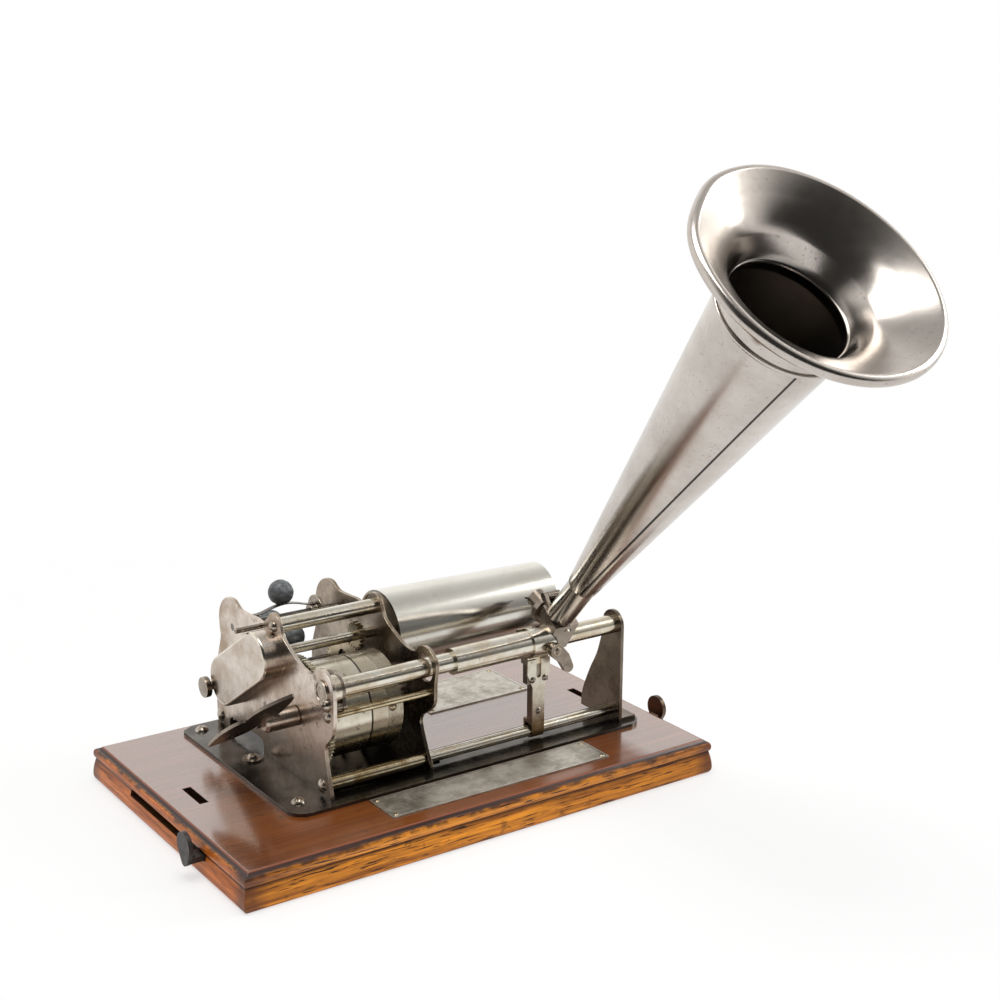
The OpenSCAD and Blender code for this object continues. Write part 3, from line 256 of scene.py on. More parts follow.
tarnish, given = start_group("tarnish", [("Cloud size", 25.0), ("Freckle size", 3.0), ("Shift", 0.0)])
place = add_node(tarnish, "ShaderNodeTexCoord").outputs["Object"]
moved = add_node(tarnish, "ShaderNodeVectorMath", {0: place, 1: given["Shift"]}, operation="ADD")
cloud_scale = calculate(tarnish, "DIVIDE", 1000.0, given["Cloud size"])
freckle_scale = calculate(tarnish, "DIVIDE", 1000.0, given["Freckle size"])
cloud = noise_value(tarnish, moved.outputs[0], cloud_scale, 6.0, 0.6)
freckle = noise_value(tarnish, moved.outputs[0], freckle_scale, 3.0, 0.6)
bloom = noise_value(tarnish, moved.outputs[0], 260.0, 5.0, 0.65)
put_out(tarnish, Cloud=rescale(tarnish, cloud, 0.42, 0.66), Freckle=rescale(tarnish, freckle, 0.62, 0.74),
        Bloom=bloom)
print("tarnish group")

# %% [markdown]
# Wear and dark marks follow the shape of a piece. The pieces carry two attributes for that, worn_edge on the
# new bevel faces and a dark one on faces that hold solder, ink or oil, or that lie deep and get painted
# shade, and this group turns them into masks.

# %% Group: wear, dark marks and painted shade
worn_edge, given = start_group("worn_edge", [("Patchiness", 0.5)])
rim = add_node(worn_edge, "ShaderNodeAttribute", attribute_name="worn_edge").outputs["Fac"]
soot_and_shade = add_node(worn_edge, "ShaderNodeAttribute", attribute_name="soot_and_shade").outputs["Fac"]
place = add_node(worn_edge, "ShaderNodeTexCoord").outputs["Object"]
patches = rescale(worn_edge, noise_value(worn_edge, place, 140.0), 0.35, 0.6)
still_plated = times(worn_edge, patches, given["Patchiness"])
rubbed = calculate(worn_edge, "SUBTRACT", 1.0, still_plated)
put_out(worn_edge, Wear=times(worn_edge, rim, rubbed), Soot=soot_and_shade)
print("wear and soot group")

# %% [markdown]
# Polishing leaves thin lines that run one way. A noise that is stretched along one axis gives them.

# %% Group: fine scratches
scratches, given = start_group("fine_scratches", [("Along X", 60.0), ("Across", 1600.0)])
place = add_node(scratches, "ShaderNodeTexCoord").outputs["Object"]
stretch = add_node(scratches, "ShaderNodeCombineXYZ", {
    "X": given["Along X"], "Y": given["Across"], "Z": given["Across"]})
laid = add_node(scratches, "ShaderNodeVectorMath", {0: place, 1: stretch.outputs[0]}, operation="MULTIPLY")
lines = noise_value(scratches, laid.outputs[0], 1.0, 3.0, 0.7)
bands = noise_value(scratches, laid.outputs[0], 0.12, 2.0, 0.5)
put_out(scratches, Lines=rescale(scratches, lines, 0.3, 0.7), Bands=rescale(scratches, bands, 0.3, 0.7))
print("groups:", [g.name for g in bpy.data.node_groups])

# %% [markdown]
# ## Plated metals
# Most of the metal is nickel plate, worn through in places. One function builds such a finish from those
# masks: a clean colour, a duller cloud colour, a freckle colour and the metal that edges wear to.
# Oil settles low on the plates and the gear cover, and the middle plate is painted darker towards its bottom
# as shade, so a finish may also name the heights between which it darkens, and a place along X past which it
# is duller. Every finish ends in surface, which joins colour and relief.

# %% Plating
# Near black for solder, ink and oil, and for painted shade on faces that lie deep.
SOOT_AND_SHADE_BLACK = (0.012, 0.010, 0.009)
END_BLUR = 0.3


def start_finish(name):
    finish = bpy.data.materials.new(name)
    finish.use_nodes = True
    finish.node_tree.nodes.clear()
    return finish, finish.node_tree


def use_group(tree, group, **values):
    node = add_node(tree, "ShaderNodeGroup", node_tree=group)
    for label, value in values.items():
        node.inputs[label.replace("_", " ")].default_value = value
    return node.outputs


def object_axes(tree):
    spot = add_node(tree, "ShaderNodeTexCoord").outputs["Object"]
    return add_node(tree, "ShaderNodeSeparateXYZ", {0: spot}).outputs


def surface(tree, paint, roughness, relief, bump, depth=0.4, **more):
    dent = add_node(tree, "ShaderNodeBump", {"Strength": bump, "Distance": depth * MM, "Height": relief})
    skin = add_node(tree, "ShaderNodeBsdfPrincipled", {"Base Color": paint, "Roughness": roughness,
                                                       "Normal": dent.outputs[0]})
    for label, value in more.items():
        connect(tree, skin.inputs[label.replace("_", " ")], value)
    add_node(tree, "ShaderNodeOutputMaterial", {"Surface": skin.outputs[0]})


def plated(name, clean, cloudy, freckled, bare, rough=(0.2, 0.4), cloud_size=25.0, freckle_size=3.0,
           shift=0.0, freckles=0.6, clouds=0.7, bump=0.05, along=(60.0, 1600.0), low_grime_and_shade=None, dull_end=None):
    finish, tree = start_finish(name)
    marks = use_group(tree, tarnish, Cloud_size=cloud_size, Freckle_size=freckle_size, Shift=shift)
    edge = use_group(tree, worn_edge, Patchiness=0.6)
    fine = use_group(tree, scratches, Along_X=along[0], Across=along[1])
    dulled = times(tree, marks["Cloud"], clouds)
    spotted = times(tree, marks["Freckle"], freckles)
    paint = blend_colours(tree, dulled, clean, cloudy)
    paint = blend_colours(tree, times(tree, fine["Bands"], 0.25), paint, cloudy)
    # Below the given heights the paint turns to the given colour: oil on the plates and the gear cover, the
    # bronze foot of the leg clip, and painted shade on the middle plate.
    if low_grime_and_shade:
        low, high, low_colour, most = low_grime_and_shade
        low_share = rescale(tree, object_axes(tree)["Z"], high * MM, low * MM, 0.0, most)
        uneven = rescale(tree, marks["Bloom"], 0.30, 0.55, 0.45, 1.0)
        paint = blend_colours(tree, times(tree, low_share, uneven), paint, low_colour)
    if dull_end:
        beyond = rescale(tree, object_axes(tree)["X"], (dull_end - END_BLUR) * MM,
                         (dull_end + END_BLUR) * MM, 0.0, 0.65)
        paint = blend_colours(tree, beyond, paint, cloudy)
    paint = blend_colours(tree, spotted, paint, freckled)
    paint = blend_colours(tree, edge["Wear"], paint, bare)
    paint = blend_colours(tree, edge["Soot"], paint, SOOT_AND_SHADE_BLACK)
    dull = calculate(tree, "ADD", times(tree, dulled, 0.5), times(tree, spotted, 0.5))
    dull = calculate(tree, "ADD", dull, times(tree, marks["Bloom"], 0.3))
    roughness = rescale(tree, dull, 0.0, 1.0, rough[0], rough[1])
    relief = calculate(tree, "ADD", times(tree, fine["Lines"], 0.4), times(tree, marks["Bloom"], 0.6))
    surface(tree, paint, roughness, relief, bump, Metallic=1.0)
    return finish


print("plating function ready")

# %% [markdown]
# The plates are warm and brown, the rods are bright with golden tarnish, and the horn and the mandrel are the
# cleanest. Dark pieces are old steel, or nickel that has gone brown.

# %% Metal finishes
BROWN_STAIN = (0.13, 0.08, 0.045)
OIL_BROWN = (0.15, 0.095, 0.055)
GROOVE_X = -42.0
plate_nickel = plated("plate_nickel", (0.72, 0.635, 0.565), (0.36, 0.265, 0.185), BROWN_STAIN,
                      (0.80, 0.71, 0.55), rough=(0.20, 0.46), cloud_size=22.0, clouds=0.95, bump=0.03,
                      freckle_size=8.0, freckles=0.8, low_grime_and_shade=(20.0, 58.0, OIL_BROWN, 0.55))
# The middle plate's finish is a darker copy of the plate nickel. It is painted shade for the shade between
# the plates, darkest towards its bottom.
shaded_inner_plate = plated("shaded_inner_plate", (0.46, 0.385, 0.31), (0.22, 0.165, 0.115), BROWN_STAIN,
                     (0.82, 0.70, 0.48), rough=(0.22, 0.46), cloud_size=18.0, clouds=0.95, bump=0.03,
                     freckle_size=8.0, freckles=0.8, low_grime_and_shade=(34.0, 92.0, (0.04, 0.029, 0.019), 0.95))
cover_nickel = plated("cover_nickel", (0.66, 0.59, 0.52), (0.42, 0.33, 0.25), BROWN_STAIN,
                      (0.80, 0.74, 0.63), rough=(0.18, 0.42), cloud_size=14.0, shift=0.12, bump=0.03,
                      low_grime_and_shade=(46.0, 70.0, OIL_BROWN, 0.6))
rod_nickel = plated("rod_nickel", (0.80, 0.77, 0.69), (0.55, 0.45, 0.30), (0.15, 0.095, 0.045),
                    (0.62, 0.50, 0.32), rough=(0.15, 0.36), cloud_size=16.0, shift=0.31, clouds=0.8,
                    bump=0.012)
rod_golden = plated("rod_golden", (0.76, 0.67, 0.47), (0.30, 0.195, 0.075), (0.09, 0.055, 0.02),
                    (0.58, 0.44, 0.22), rough=(0.14, 0.36), cloud_size=12.0, shift=0.44, clouds=0.95,
                    bump=0.012)
drum_nickel = plated("drum_nickel", (0.74, 0.695, 0.585), (0.46, 0.395, 0.285), BROWN_STAIN,
                     (0.66, 0.60, 0.47), rough=(0.18, 0.40), cloud_size=12.0, shift=0.57, freckles=0.9,
                     bump=0.03, dull_end=GROOVE_X)
mandrel_nickel = plated("mandrel_nickel", (0.77, 0.75, 0.69), (0.61, 0.585, 0.515), (0.34, 0.31, 0.27),
                        (0.6, 0.58, 0.54), rough=(0.15, 0.30), cloud_size=30.0, freckles=0.2, clouds=0.55,
                        bump=0.03, shift=0.83, along=(40.0, 900.0))
horn_nickel = plated("horn_nickel", (0.60, 0.555, 0.51), (0.46, 0.41, 0.365), (0.10, 0.08, 0.065),
                     (0.72, 0.70, 0.65), rough=(0.16, 0.34), cloud_size=34.0, freckle_size=1.5,
                     freckles=0.5, clouds=0.65, bump=0.05, shift=1.17)
lid_nickel = plated("lid_nickel", (0.50, 0.445, 0.345), (0.26, 0.215, 0.15), BROWN_STAIN,
                    (0.62, 0.55, 0.42), rough=(0.22, 0.44), cloud_size=9.0, shift=0.66, freckles=0.9)
dark_nickel = plated("dark_nickel", (0.33, 0.28, 0.235), (0.18, 0.14, 0.105), (0.07, 0.045, 0.028),
                     (0.62, 0.53, 0.38), rough=(0.22, 0.44), cloud_size=10.0, shift=1.61)
bracket_brown = plated("bracket_brown", (0.22, 0.18, 0.14), (0.12, 0.092, 0.068), (0.05, 0.034, 0.02),
                       (0.66, 0.56, 0.38), rough=(0.20, 0.42), cloud_size=16.0, shift=1.42, clouds=0.9)
screw_nickel = plated("screw_nickel", (0.50, 0.44, 0.37), (0.27, 0.21, 0.16), (0.07, 0.05, 0.03),
                      (0.66, 0.60, 0.50), rough=(0.18, 0.40), cloud_size=5.0, shift=1.74)
dark_steel = plated("dark_steel", (0.22, 0.20, 0.18), (0.12, 0.10, 0.085), (0.06, 0.045, 0.03),
                    (0.42, 0.38, 0.33), rough=(0.26, 0.50), cloud_size=10.0, shift=1.93)
works_brass = plated("works_brass", (0.46, 0.38, 0.26), (0.28, 0.21, 0.12), (0.10, 0.065, 0.03),
                     (0.66, 0.56, 0.38), rough=(0.22, 0.44), cloud_size=8.0, shift=2.29)
old_bronze = plated("old_bronze", (0.16, 0.115, 0.085), (0.09, 0.062, 0.045), (0.04, 0.026, 0.018),
                    (0.34, 0.26, 0.18), rough=(0.28, 0.48), cloud_size=6.0, shift=2.41)
clip_bronze = plated("clip_bronze", (0.66, 0.625, 0.54), (0.47, 0.39, 0.27), (0.12, 0.08, 0.04),
                     (0.62, 0.50, 0.30), rough=(0.18, 0.38), cloud_size=8.0, shift=2.53,
                     low_grime_and_shade=(33.0, 38.0, (0.27, 0.165, 0.065), 0.95))
print("metal finishes made")

# %% [markdown]
# ## Oily iron, lead, leather and mica
# The bedplate is iron, black with oil and rubbed bright along its edges, so it still shines like metal. Below
# the works, between named limits along X and Y, it is painted almost black as shade. The left catch is
# blackened.
# The governor's balls are cast lead, dull and pitted. The brake's pad is leather, and the diaphragm is a thin
# sheet of mica.

# %% Dull finishes
# The painted shade below the works fades over this width and reaches this share.
SHADE_BLUR, SHADE_SHARE = 4.0, 0.8


def dull_finish(name, main, second, bare, rough, size, metallic=0.0, bump=0.3, coat=0.0, shift=0.0,
                shade_below_works=None):
    finish, tree = start_finish(name)
    marks = use_group(tree, tarnish, Cloud_size=size, Freckle_size=size / 6, Shift=shift)
    edge = use_group(tree, worn_edge, Patchiness=0.75)
    paint = blend_colours(tree, marks["Cloud"], main, second)
    paint = blend_colours(tree, times(tree, marks["Freckle"], 0.5), paint, second)
    paint = blend_colours(tree, edge["Wear"], paint, bare)
    paint = blend_colours(tree, edge["Soot"], paint, SOOT_AND_SHADE_BLACK)
    # Painted shade below the works: the bedplate turns nearly black between the given limits along X and Y.
    if shade_below_works:
        axes = object_axes(tree)
        spread = SHADE_SHARE
        for axis, (low, high) in zip("XY", shade_below_works):
            for limit, blur in ((low, SHADE_BLUR), (high, -SHADE_BLUR)):
                within = rescale(tree, axes[axis], (limit - blur) * MM, (limit + blur) * MM)
                spread = times(tree, spread, within)
        paint = blend_colours(tree, spread, paint, SOOT_AND_SHADE_BLACK)
    roughness = rescale(tree, marks["Bloom"], 0.3, 0.7, rough[0], rough[1])
    relief = calculate(tree, "ADD", marks["Bloom"], marks["Freckle"])
    surface(tree, paint, roughness, relief, bump, Metallic=metallic, Coat_Weight=coat, Coat_Roughness=0.2)
    return finish


oily_iron = dull_finish("oily_iron", (0.125, 0.113, 0.098), (0.035, 0.029, 0.023), (0.50, 0.44, 0.34),
                        (0.07, 0.26), 24.0, metallic=0.9, bump=0.015, shade_below_works=((-74.0, 4.0), (-50.0, 80.0)))
blackened = dull_finish("blackened", (0.05, 0.043, 0.038), (0.028, 0.024, 0.021), (0.17, 0.14, 0.115),
                        (0.34, 0.52), 8.0, metallic=0.6, bump=0.2, shift=0.2)
cast_lead = dull_finish("cast_lead", (0.17, 0.178, 0.185), (0.085, 0.089, 0.094), (0.3, 0.3, 0.3),
                        (0.45, 0.65), 3.0, metallic=0.4, bump=0.7, shift=0.4)
pad_leather = dull_finish("pad_leather", (0.12, 0.06, 0.03), (0.07, 0.035, 0.018), (0.2, 0.12, 0.07),
                          (0.6, 0.8), 2.0, bump=0.5, shift=0.9)
mica_sheet = dull_finish("mica_sheet", (0.62, 0.56, 0.45), (0.50, 0.43, 0.32), (0.6, 0.55, 0.45),
                         (0.1, 0.2), 5.0, bump=0.05, coat=0.6, shift=1.3)
print("dull finishes made")

# %% [markdown]
# ## Varnished wood
# The base is oak. Grain is a noise that is stretched along the board, with short dark pores on top of it.
# The mouldings run round all four sides, so their grain follows each side: the face's own direction chooses
# which way, and the same mask lets the ends take a redder colour than the long sides.

# %% Group: oak grain
grain, given = start_group("oak_grain", [("Turned", 0.0)])
split = object_axes(grain)
space = add_node(grain, "ShaderNodeTexCoord")
looks = add_node(grain, "ShaderNodeSeparateXYZ", {0: space.outputs["Normal"]})
sideways = calculate(grain, "GREATER_THAN", calculate(grain, "ABSOLUTE", looks.outputs["X"]), 0.45)
sideways = times(grain, sideways, given["Turned"])
upright = calculate(grain, "SUBTRACT", 1.0, sideways)
along = calculate(grain, "ADD", times(grain, split["X"], upright), times(grain, split["Y"], sideways))
across = calculate(grain, "ADD", times(grain, split["Y"], upright), times(grain, split["X"], sideways))


def stretched(length_scale, cross_scale):
    node = add_node(grain, "ShaderNodeCombineXYZ", {
        "X": times(grain, along, length_scale), "Y": times(grain, across, cross_scale),
        "Z": times(grain, split["Z"], cross_scale)})
    return node.outputs[0]


streak = noise_value(grain, stretched(16.0, 420.0), 1.0, 6.0, 0.66)
pore = noise_value(grain, stretched(75.0, 1150.0), 1.0, 2.0, 0.5)
broad = noise_value(grain, stretched(9.0, 60.0), 1.0, 3.0, 0.5)
put_out(grain, Streak=rescale(grain, streak, 0.36, 0.64), Pore=rescale(grain, pore, 0.57, 0.66),
        Broad=rescale(grain, broad, 0.3, 0.7), End=sideways)
print("oak grain group")

# %% [markdown]
# The amber mouldings are the same on both boards, so one function paints them: pale and dark grain, black
# pores, a few ink-like spots, and corners that many hands have darkened.

# %% Amber mouldings
board_low, board_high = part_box("top_board")
BOARD_TOP = board_high[2]
LEDGE_FOOT = BOARD_TOP - 1.7 * MM
LIP_FOOT = board_low[2]
CORNER_FAR, CORNER_NEAR, CORNER_SHARE = 13.0 * MM, 4.0 * MM, 0.8
PORE_BLACK = (0.022, 0.008, 0.004)
CORNER_BROWN = (0.13, 0.038, 0.012)


def amber_moulding(tree, figure, spots, axes):
    pale = blend_colours(tree, figure["End"], (0.90, 0.33, 0.022), (0.74, 0.195, 0.012))
    dark = blend_colours(tree, figure["End"], (0.26, 0.078, 0.008), (0.28, 0.066, 0.007))
    paint = blend_colours(tree, figure["Streak"], pale, dark)
    paint = blend_colours(tree, times(tree, figure["Broad"], 0.25), paint, dark)
    strength = rescale(tree, figure["End"], 0.0, 1.0, 0.95, 0.6)
    paint = blend_colours(tree, times(tree, figure["Pore"], strength), paint, PORE_BLACK)
    paint = blend_colours(tree, times(tree, spots["Freckle"], 0.75), paint, PORE_BLACK)
    handled = CORNER_SHARE
    for axis, limit in zip("XY", board_high):
        out = calculate(tree, "ABSOLUTE", axes[axis])
        handled = times(tree, handled, rescale(tree, out, limit - CORNER_FAR, limit - CORNER_NEAR))
    return blend_colours(tree, handled, paint, CORNER_BROWN)


def wood_skin(tree, paint, figure, spots, coat, coat_rough, coat_ior, rough, bump=0.10):
    edge = use_group(tree, worn_edge, Patchiness=0.5)
    paint = blend_colours(tree, edge["Soot"], paint, SOOT_AND_SHADE_BLACK)
    roughness = rescale(tree, figure["Streak"], 0.0, 1.0, rough[0], rough[1])
    relief = calculate(tree, "ADD", times(tree, figure["Pore"], -0.6), times(tree, figure["Streak"], 0.2))
    relief = calculate(tree, "ADD", relief, times(tree, spots["Bloom"], 0.15))
    surface(tree, paint, roughness, relief, bump, 0.5, Coat_Weight=coat, Coat_Roughness=coat_rough,
            Coat_IOR=coat_ior, Specular_IOR_Level=0.2)


plinth_oak, tree = start_finish("plinth_oak")
figure = use_group(tree, grain, Turned=1.0)
spots = use_group(tree, tarnish, Cloud_size=45.0, Freckle_size=9.0, Shift=0.2)
axes = object_axes(tree)
paint = amber_moulding(tree, figure, spots, axes)
# Just below the lip the plinth is painted dark as shade.
shade_under_lip = rescale(tree, axes["Z"], LIP_FOOT - 1.6 * MM, LIP_FOOT - 0.4 * MM)
paint = blend_colours(tree, times(tree, shade_under_lip, 0.85), paint, (0.05, 0.018, 0.008))
wood_skin(tree, paint, figure, spots, 0.15, 0.25, 1.5, (0.3, 0.5))
print("plinth finish made")

# %% [markdown]
# The flat of the top board is stained red-brown under varnish that mirrors the white room. Its coat is full
# at both ends and behind the front strip, and thin on that strip. A thin red band at the top edge is a
# painted highlight. A dark sloped step, stained and with painted shade, goes round the flat, and the lip
# below it is amber again with dark patches along its worn upper edge and painted shade at its foot.

# %% Top board finish
COAT_LEFT, COAT_RIGHT, COAT_BACK = (-90.0, -106.0), (96.0, 108.0), (-52.0, -38.0)
COAT_SLANT = -0.30
top_varnish, tree = start_finish("top_varnish")
figure = use_group(tree, grain, Turned=1.0)
spots = use_group(tree, tarnish, Cloud_size=45.0, Freckle_size=6.0, Shift=0.27)
axes = object_axes(tree)
height = axes["Z"]
paint = amber_moulding(tree, figure, spots, axes)
worn_patch = noise_value(tree, add_node(tree, "ShaderNodeTexCoord").outputs["Object"], 120.0, 4.0, 0.6)
upper_lip = rescale(tree, height, LEDGE_FOOT - 2.4 * MM, LEDGE_FOOT - 0.6 * MM)
patchy = times(tree, upper_lip, rescale(tree, worn_patch, 0.45, 0.58))
paint = blend_colours(tree, times(tree, patchy, 0.85), paint, (0.045, 0.018, 0.010))
# The foot of the lip is painted dark as shade above the plinth.
lip_shade = rescale(tree, height, LIP_FOOT + 0.9 * MM, LIP_FOOT + 0.2 * MM)
paint = blend_colours(tree, times(tree, lip_shade, 0.8), paint, (0.05, 0.018, 0.008))
# The sloped step is a dark stain with painted shade.
ledge = rescale(tree, height, LEDGE_FOOT - 0.35 * MM, LEDGE_FOOT + 0.1 * MM)
step_stain_and_shade = blend_colours(tree, figure["Streak"], (0.060, 0.024, 0.016), (0.024, 0.010, 0.008))
paint = blend_colours(tree, ledge, paint, step_stain_and_shade)
# A thin lighter red band just below the flat is a painted highlight on the top edge.
edge_highlight = rescale(tree, height, BOARD_TOP - 0.75 * MM, BOARD_TOP - 0.35 * MM)
paint = blend_colours(tree, times(tree, edge_highlight, 0.8), paint, (0.30, 0.085, 0.035))
flat = rescale(tree, height, BOARD_TOP - 0.12 * MM, BOARD_TOP - 0.03 * MM)
stain = blend_colours(tree, figure["Streak"], (0.215, 0.062, 0.010), (0.150, 0.040, 0.007))
stain = blend_colours(tree, times(tree, figure["Broad"], 0.35), stain, (0.085, 0.020, 0.007))
stain = blend_colours(tree, times(tree, spots["Freckle"], 0.5), stain, PORE_BLACK)
paint = blend_colours(tree, flat, paint, stain)
slanted = calculate(tree, "ADD", axes["X"], times(tree, axes["Y"], COAT_SLANT))
clear = 0.0
for across_board, (thin, full) in ((slanted, COAT_LEFT), (axes["X"], COAT_RIGHT), (axes["Y"], COAT_BACK)):
    clear = calculate(tree, "MAXIMUM", clear, rescale(tree, across_board, thin * MM, full * MM))
coat_share = times(tree, flat, rescale(tree, clear, 0.0, 1.0, 0.2, 1.0))
coat_share = calculate(tree, "ADD", coat_share, 0.1)
wood_skin(tree, paint, figure, spots, coat_share, 0.15, 2.8, (0.3, 0.45), bump=0.02)
print("top finish made, flat at", round(BOARD_TOP / MM, 2), "mm")

# %% [markdown]
# ## Softened pieces
# A CAD solid has knife-sharp edges, and no real sheet or casting does. A copy of the solid is welded, its
# flat faces are joined, and its sharp edges are bevelled, so that they catch the light. Every new bevel face
# is marked with an attribute, which the finishes read to show the bare metal on worn edges.

# %% Softening
def make_piece(name, shape, body, finish, stands_for=(), smooth_angle=32):
    mesh = bpy.data.meshes.new(name)
    shape.to_mesh(mesh)
    shape.free()
    mesh.materials.clear()
    mesh.materials.append(finish)
    mesh.polygons.foreach_set("material_index", [0] * len(mesh.polygons))
    if "custom_normal" in mesh.attributes:
        mesh.attributes.remove(mesh.attributes["custom_normal"])
    mesh.polygons.foreach_set("use_smooth", [True] * len(mesh.polygons))
    mesh.set_sharp_from_angle(angle=radians(smooth_angle))
    piece = bpy.data.objects.new(name, mesh)
    studio.collection.objects.link(piece)
    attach(piece, body)
    if stands_for:
        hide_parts(*stands_for)
    return piece


def welded_copy(node):
    shape = bmesh.new()
    shape.from_mesh(solids[node].data)
    bmesh.ops.remove_doubles(shape, verts=shape.verts, dist=2e-6)
    bmesh.ops.dissolve_limit(shape, angle_limit=radians(0.3), verts=shape.verts, edges=shape.edges)
    return shape


def soften(node, width, finish, segments=2, sharp=30, chosen=None, soot_and_shade_faces=None, prepare=None):
    shape = welded_copy(node)
    if prepare:
        prepare(shape)
    mark = shape.faces.layers.float.new("worn_edge")
    hard = [e for e in shape.edges if len(e.link_faces) == 2 and e.calc_face_angle(0.0) > radians(sharp)]
    hard = [e for e in hard if chosen is None or chosen(e)]
    made = bmesh.ops.bevel(shape, geom=hard, offset=width * MM, offset_type="OFFSET", segments=segments,
                           profile=0.5, affect="EDGES", clamp_overlap=True, material=-1)
    for face in made["faces"]:
        face[mark] = 1.0
    if soot_and_shade_faces:
        dark = shape.faces.layers.float.new("soot_and_shade")
        for face in shape.faces:
            face[dark] = soot_and_shade_faces(face)
    piece = make_piece("soft_" + node, shape, solids[node]["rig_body"], finish, (node,))
    even = piece.modifiers.new("even_shading", "WEIGHTED_NORMAL")
    even.keep_sharp = True
    even.weight = 100
    print(f"{node}: {len(hard)} edges softened, {len(piece.data.polygons)} faces")


print("softening ready")

# %% [markdown]
# The two boards have slots and a channel for the lid catches. Their inner walls lie in shade, so faces that
# lie well inside the outline are marked for painted shade, nearly black. On the plinth those faces also keep
# their sharp edges, so that nothing reaches into the catches' way.

# %% Boards of the base
INNER_MARGIN = 6.0 * MM


def shaded_inside_board(face):
    middle = face.calc_center_median()
    within = all(abs(middle[axis]) < board_high[axis] - INNER_MARGIN for axis in (0, 1))
    return 0.9 if within and abs(middle.z - BOARD_TOP) > 0.1 * MM and middle.z > 0.1 * MM else 0.0


soften("top_board", 0.45, top_varnish, soot_and_shade_faces=shaded_inside_board)
soften("plinth_board", 0.7, plinth_oak, soot_and_shade_faces=shaded_inside_board,
       chosen=lambda e: e.is_convex and not any(shaded_inside_board(face) for face in e.link_faces))

# %% [markdown]
# Each line below names a solid, the width of its bevel in millimetres and its finish. Sheet metal has a small
# burr-free edge of a third of a millimetre; castings have a wider one.

# %% Softened solids
softened = [
    ("left_catch", 0.5, blackened), ("right_catch", 0.5, old_bronze), ("bedplate", 0.5, oily_iron),
    ("bedplate_screws", 0.2, screw_nickel), ("left_motor_plate", 0.35, plate_nickel),
    ("middle_motor_plate", 0.35, shaded_inner_plate), ("end_bracket", 0.35, bracket_brown),
    ("top_pillar", 0.3, rod_nickel), ("tie_rods", 0.3, rod_golden), ("spacer_rod", 0.2, rod_golden),
    ("guide_rod", 0.3, rod_nickel),
    ("frame_screws", 0.2, screw_nickel), ("tube_yoke", 0.2, dark_nickel), ("bearing_cap", 0.2, screw_nickel),
    ("feed_tube", 0.2, rod_nickel), ("winding_arbor", 0.4, plate_nickel), ("winding_key", 0.4, dark_nickel),
    ("barrel_cover", 0.4, lid_nickel), ("barrel_screws", 0.15, works_brass),
    ("cover_thumb_screw", 0.5, dark_nickel), ("mandrel_shaft", 0.3, rod_nickel),
    ("governor_shaft", 0.1, dark_steel), ("governor_collars", 0.3, dark_nickel),
    ("brake_rod", 0.25, dark_nickel), ("carriage_sleeve", 0.4, rod_nickel),
    ("horn_bracket", 0.4, dark_nickel), ("carriage_leg", 0.3, dark_nickel), ("leg_clip", 0.2, clip_bronze),
    ("thumb_lever", 0.8, dark_nickel), ("reproducer", 0.4, dark_nickel),
]
for node, width, finish in softened:
    soften(node, width, finish)

# %% [markdown]
# A narrow groove runs round the spring drum, and the drum is duller past it. Four cuts across the drum make
# the groove's edges and its middle, which is moved towards the axis and holds old oil.

# %% Spring drum
drum_low, drum_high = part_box("barrel_drum")
DRUM_AXIS = Vector((0.0, (drum_low[1] + drum_high[1]) / 2, (drum_low[2] + drum_high[2]) / 2))
DRUM_R = (drum_high[1] - drum_low[1]) / 2
GROOVE_CUTS, GROOVE_DEPTH = (-0.55, -0.15, 0.15, 0.55), 0.45


def from_drum_axis(point):
    return Vector((0.0, point.y, point.z)) - DRUM_AXIS


def cut_groove(shape):
    for step in GROOVE_CUTS:
        bmesh.ops.bisect_plane(shape, geom=shape.verts[:] + shape.edges[:] + shape.faces[:], dist=1e-7,
                               plane_co=((GROOVE_X + step) * MM, 0, 0), plane_no=(1, 0, 0))
    for vert in shape.verts:
        out = from_drum_axis(vert.co)
        if abs(vert.co.x / MM - GROOVE_X) < 0.2 and out.length > DRUM_R - 0.5 * MM:
            vert.co -= out.normalized() * GROOVE_DEPTH * MM


def groove_oil(face):
    middle = face.calc_center_median()
    near = abs(middle.x / MM - GROOVE_X) < 0.5 and from_drum_axis(middle).length > DRUM_R - 0.7 * MM
    return 0.85 if near else 0.0


soften("barrel_drum", 0.4, drum_nickel, sharp=40, soot_and_shade_faces=groove_oil, prepare=cut_groove,
       chosen=lambda e: abs(e.verts[0].co.x / MM - GROOVE_X) > 1.0)

# %% [markdown]
# The gear cover is drawn from thin sheet, so only the edge round its flat front is round, with a wide radius.

# %% Gear cover
cover_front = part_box("gear_cover")[0][0]
soften("gear_cover", 1.5, cover_nickel, segments=4, sharp=25,
       chosen=lambda e: all(v.co.x < cover_front + 0.1 * MM for v in e.verts))

# %% [markdown]
# ## Solids that stay
# Gears, springs and other small works already have the right shape, so the CAD objects stay and only take
# a finish.

# %% Finishes on the solids that stay
kept = {
    "name_plate_pins": works_brass, "key_pin": works_brass, "ratchet_wheel": dark_steel,
    "click": dark_steel, "barrel_gear": drum_nickel, "mainspring": dark_steel,
    "intermediate_shaft": dark_nickel, "intermediate_wheel": works_brass, "mandrel_pinion": works_brass,
    "mandrel_gear": works_brass, "idler_stud": dark_steel, "idler_gear": works_brass,
    "counter_stud": dark_steel, "counter_sleeve": works_brass, "counter_wheel": works_brass,
    "governor_springs": dark_steel, "brake_pad": pad_leather,
    "feed_screw": dark_steel, "half_nut": works_brass, "diaphragm": mica_sheet, "stylus": dark_steel,
    "mandrel": mandrel_nickel,
}
for node, finish in kept.items():
    for place in solids[node].material_slots:
        place.material = finish
print(len(kept), "solids keep their shape")

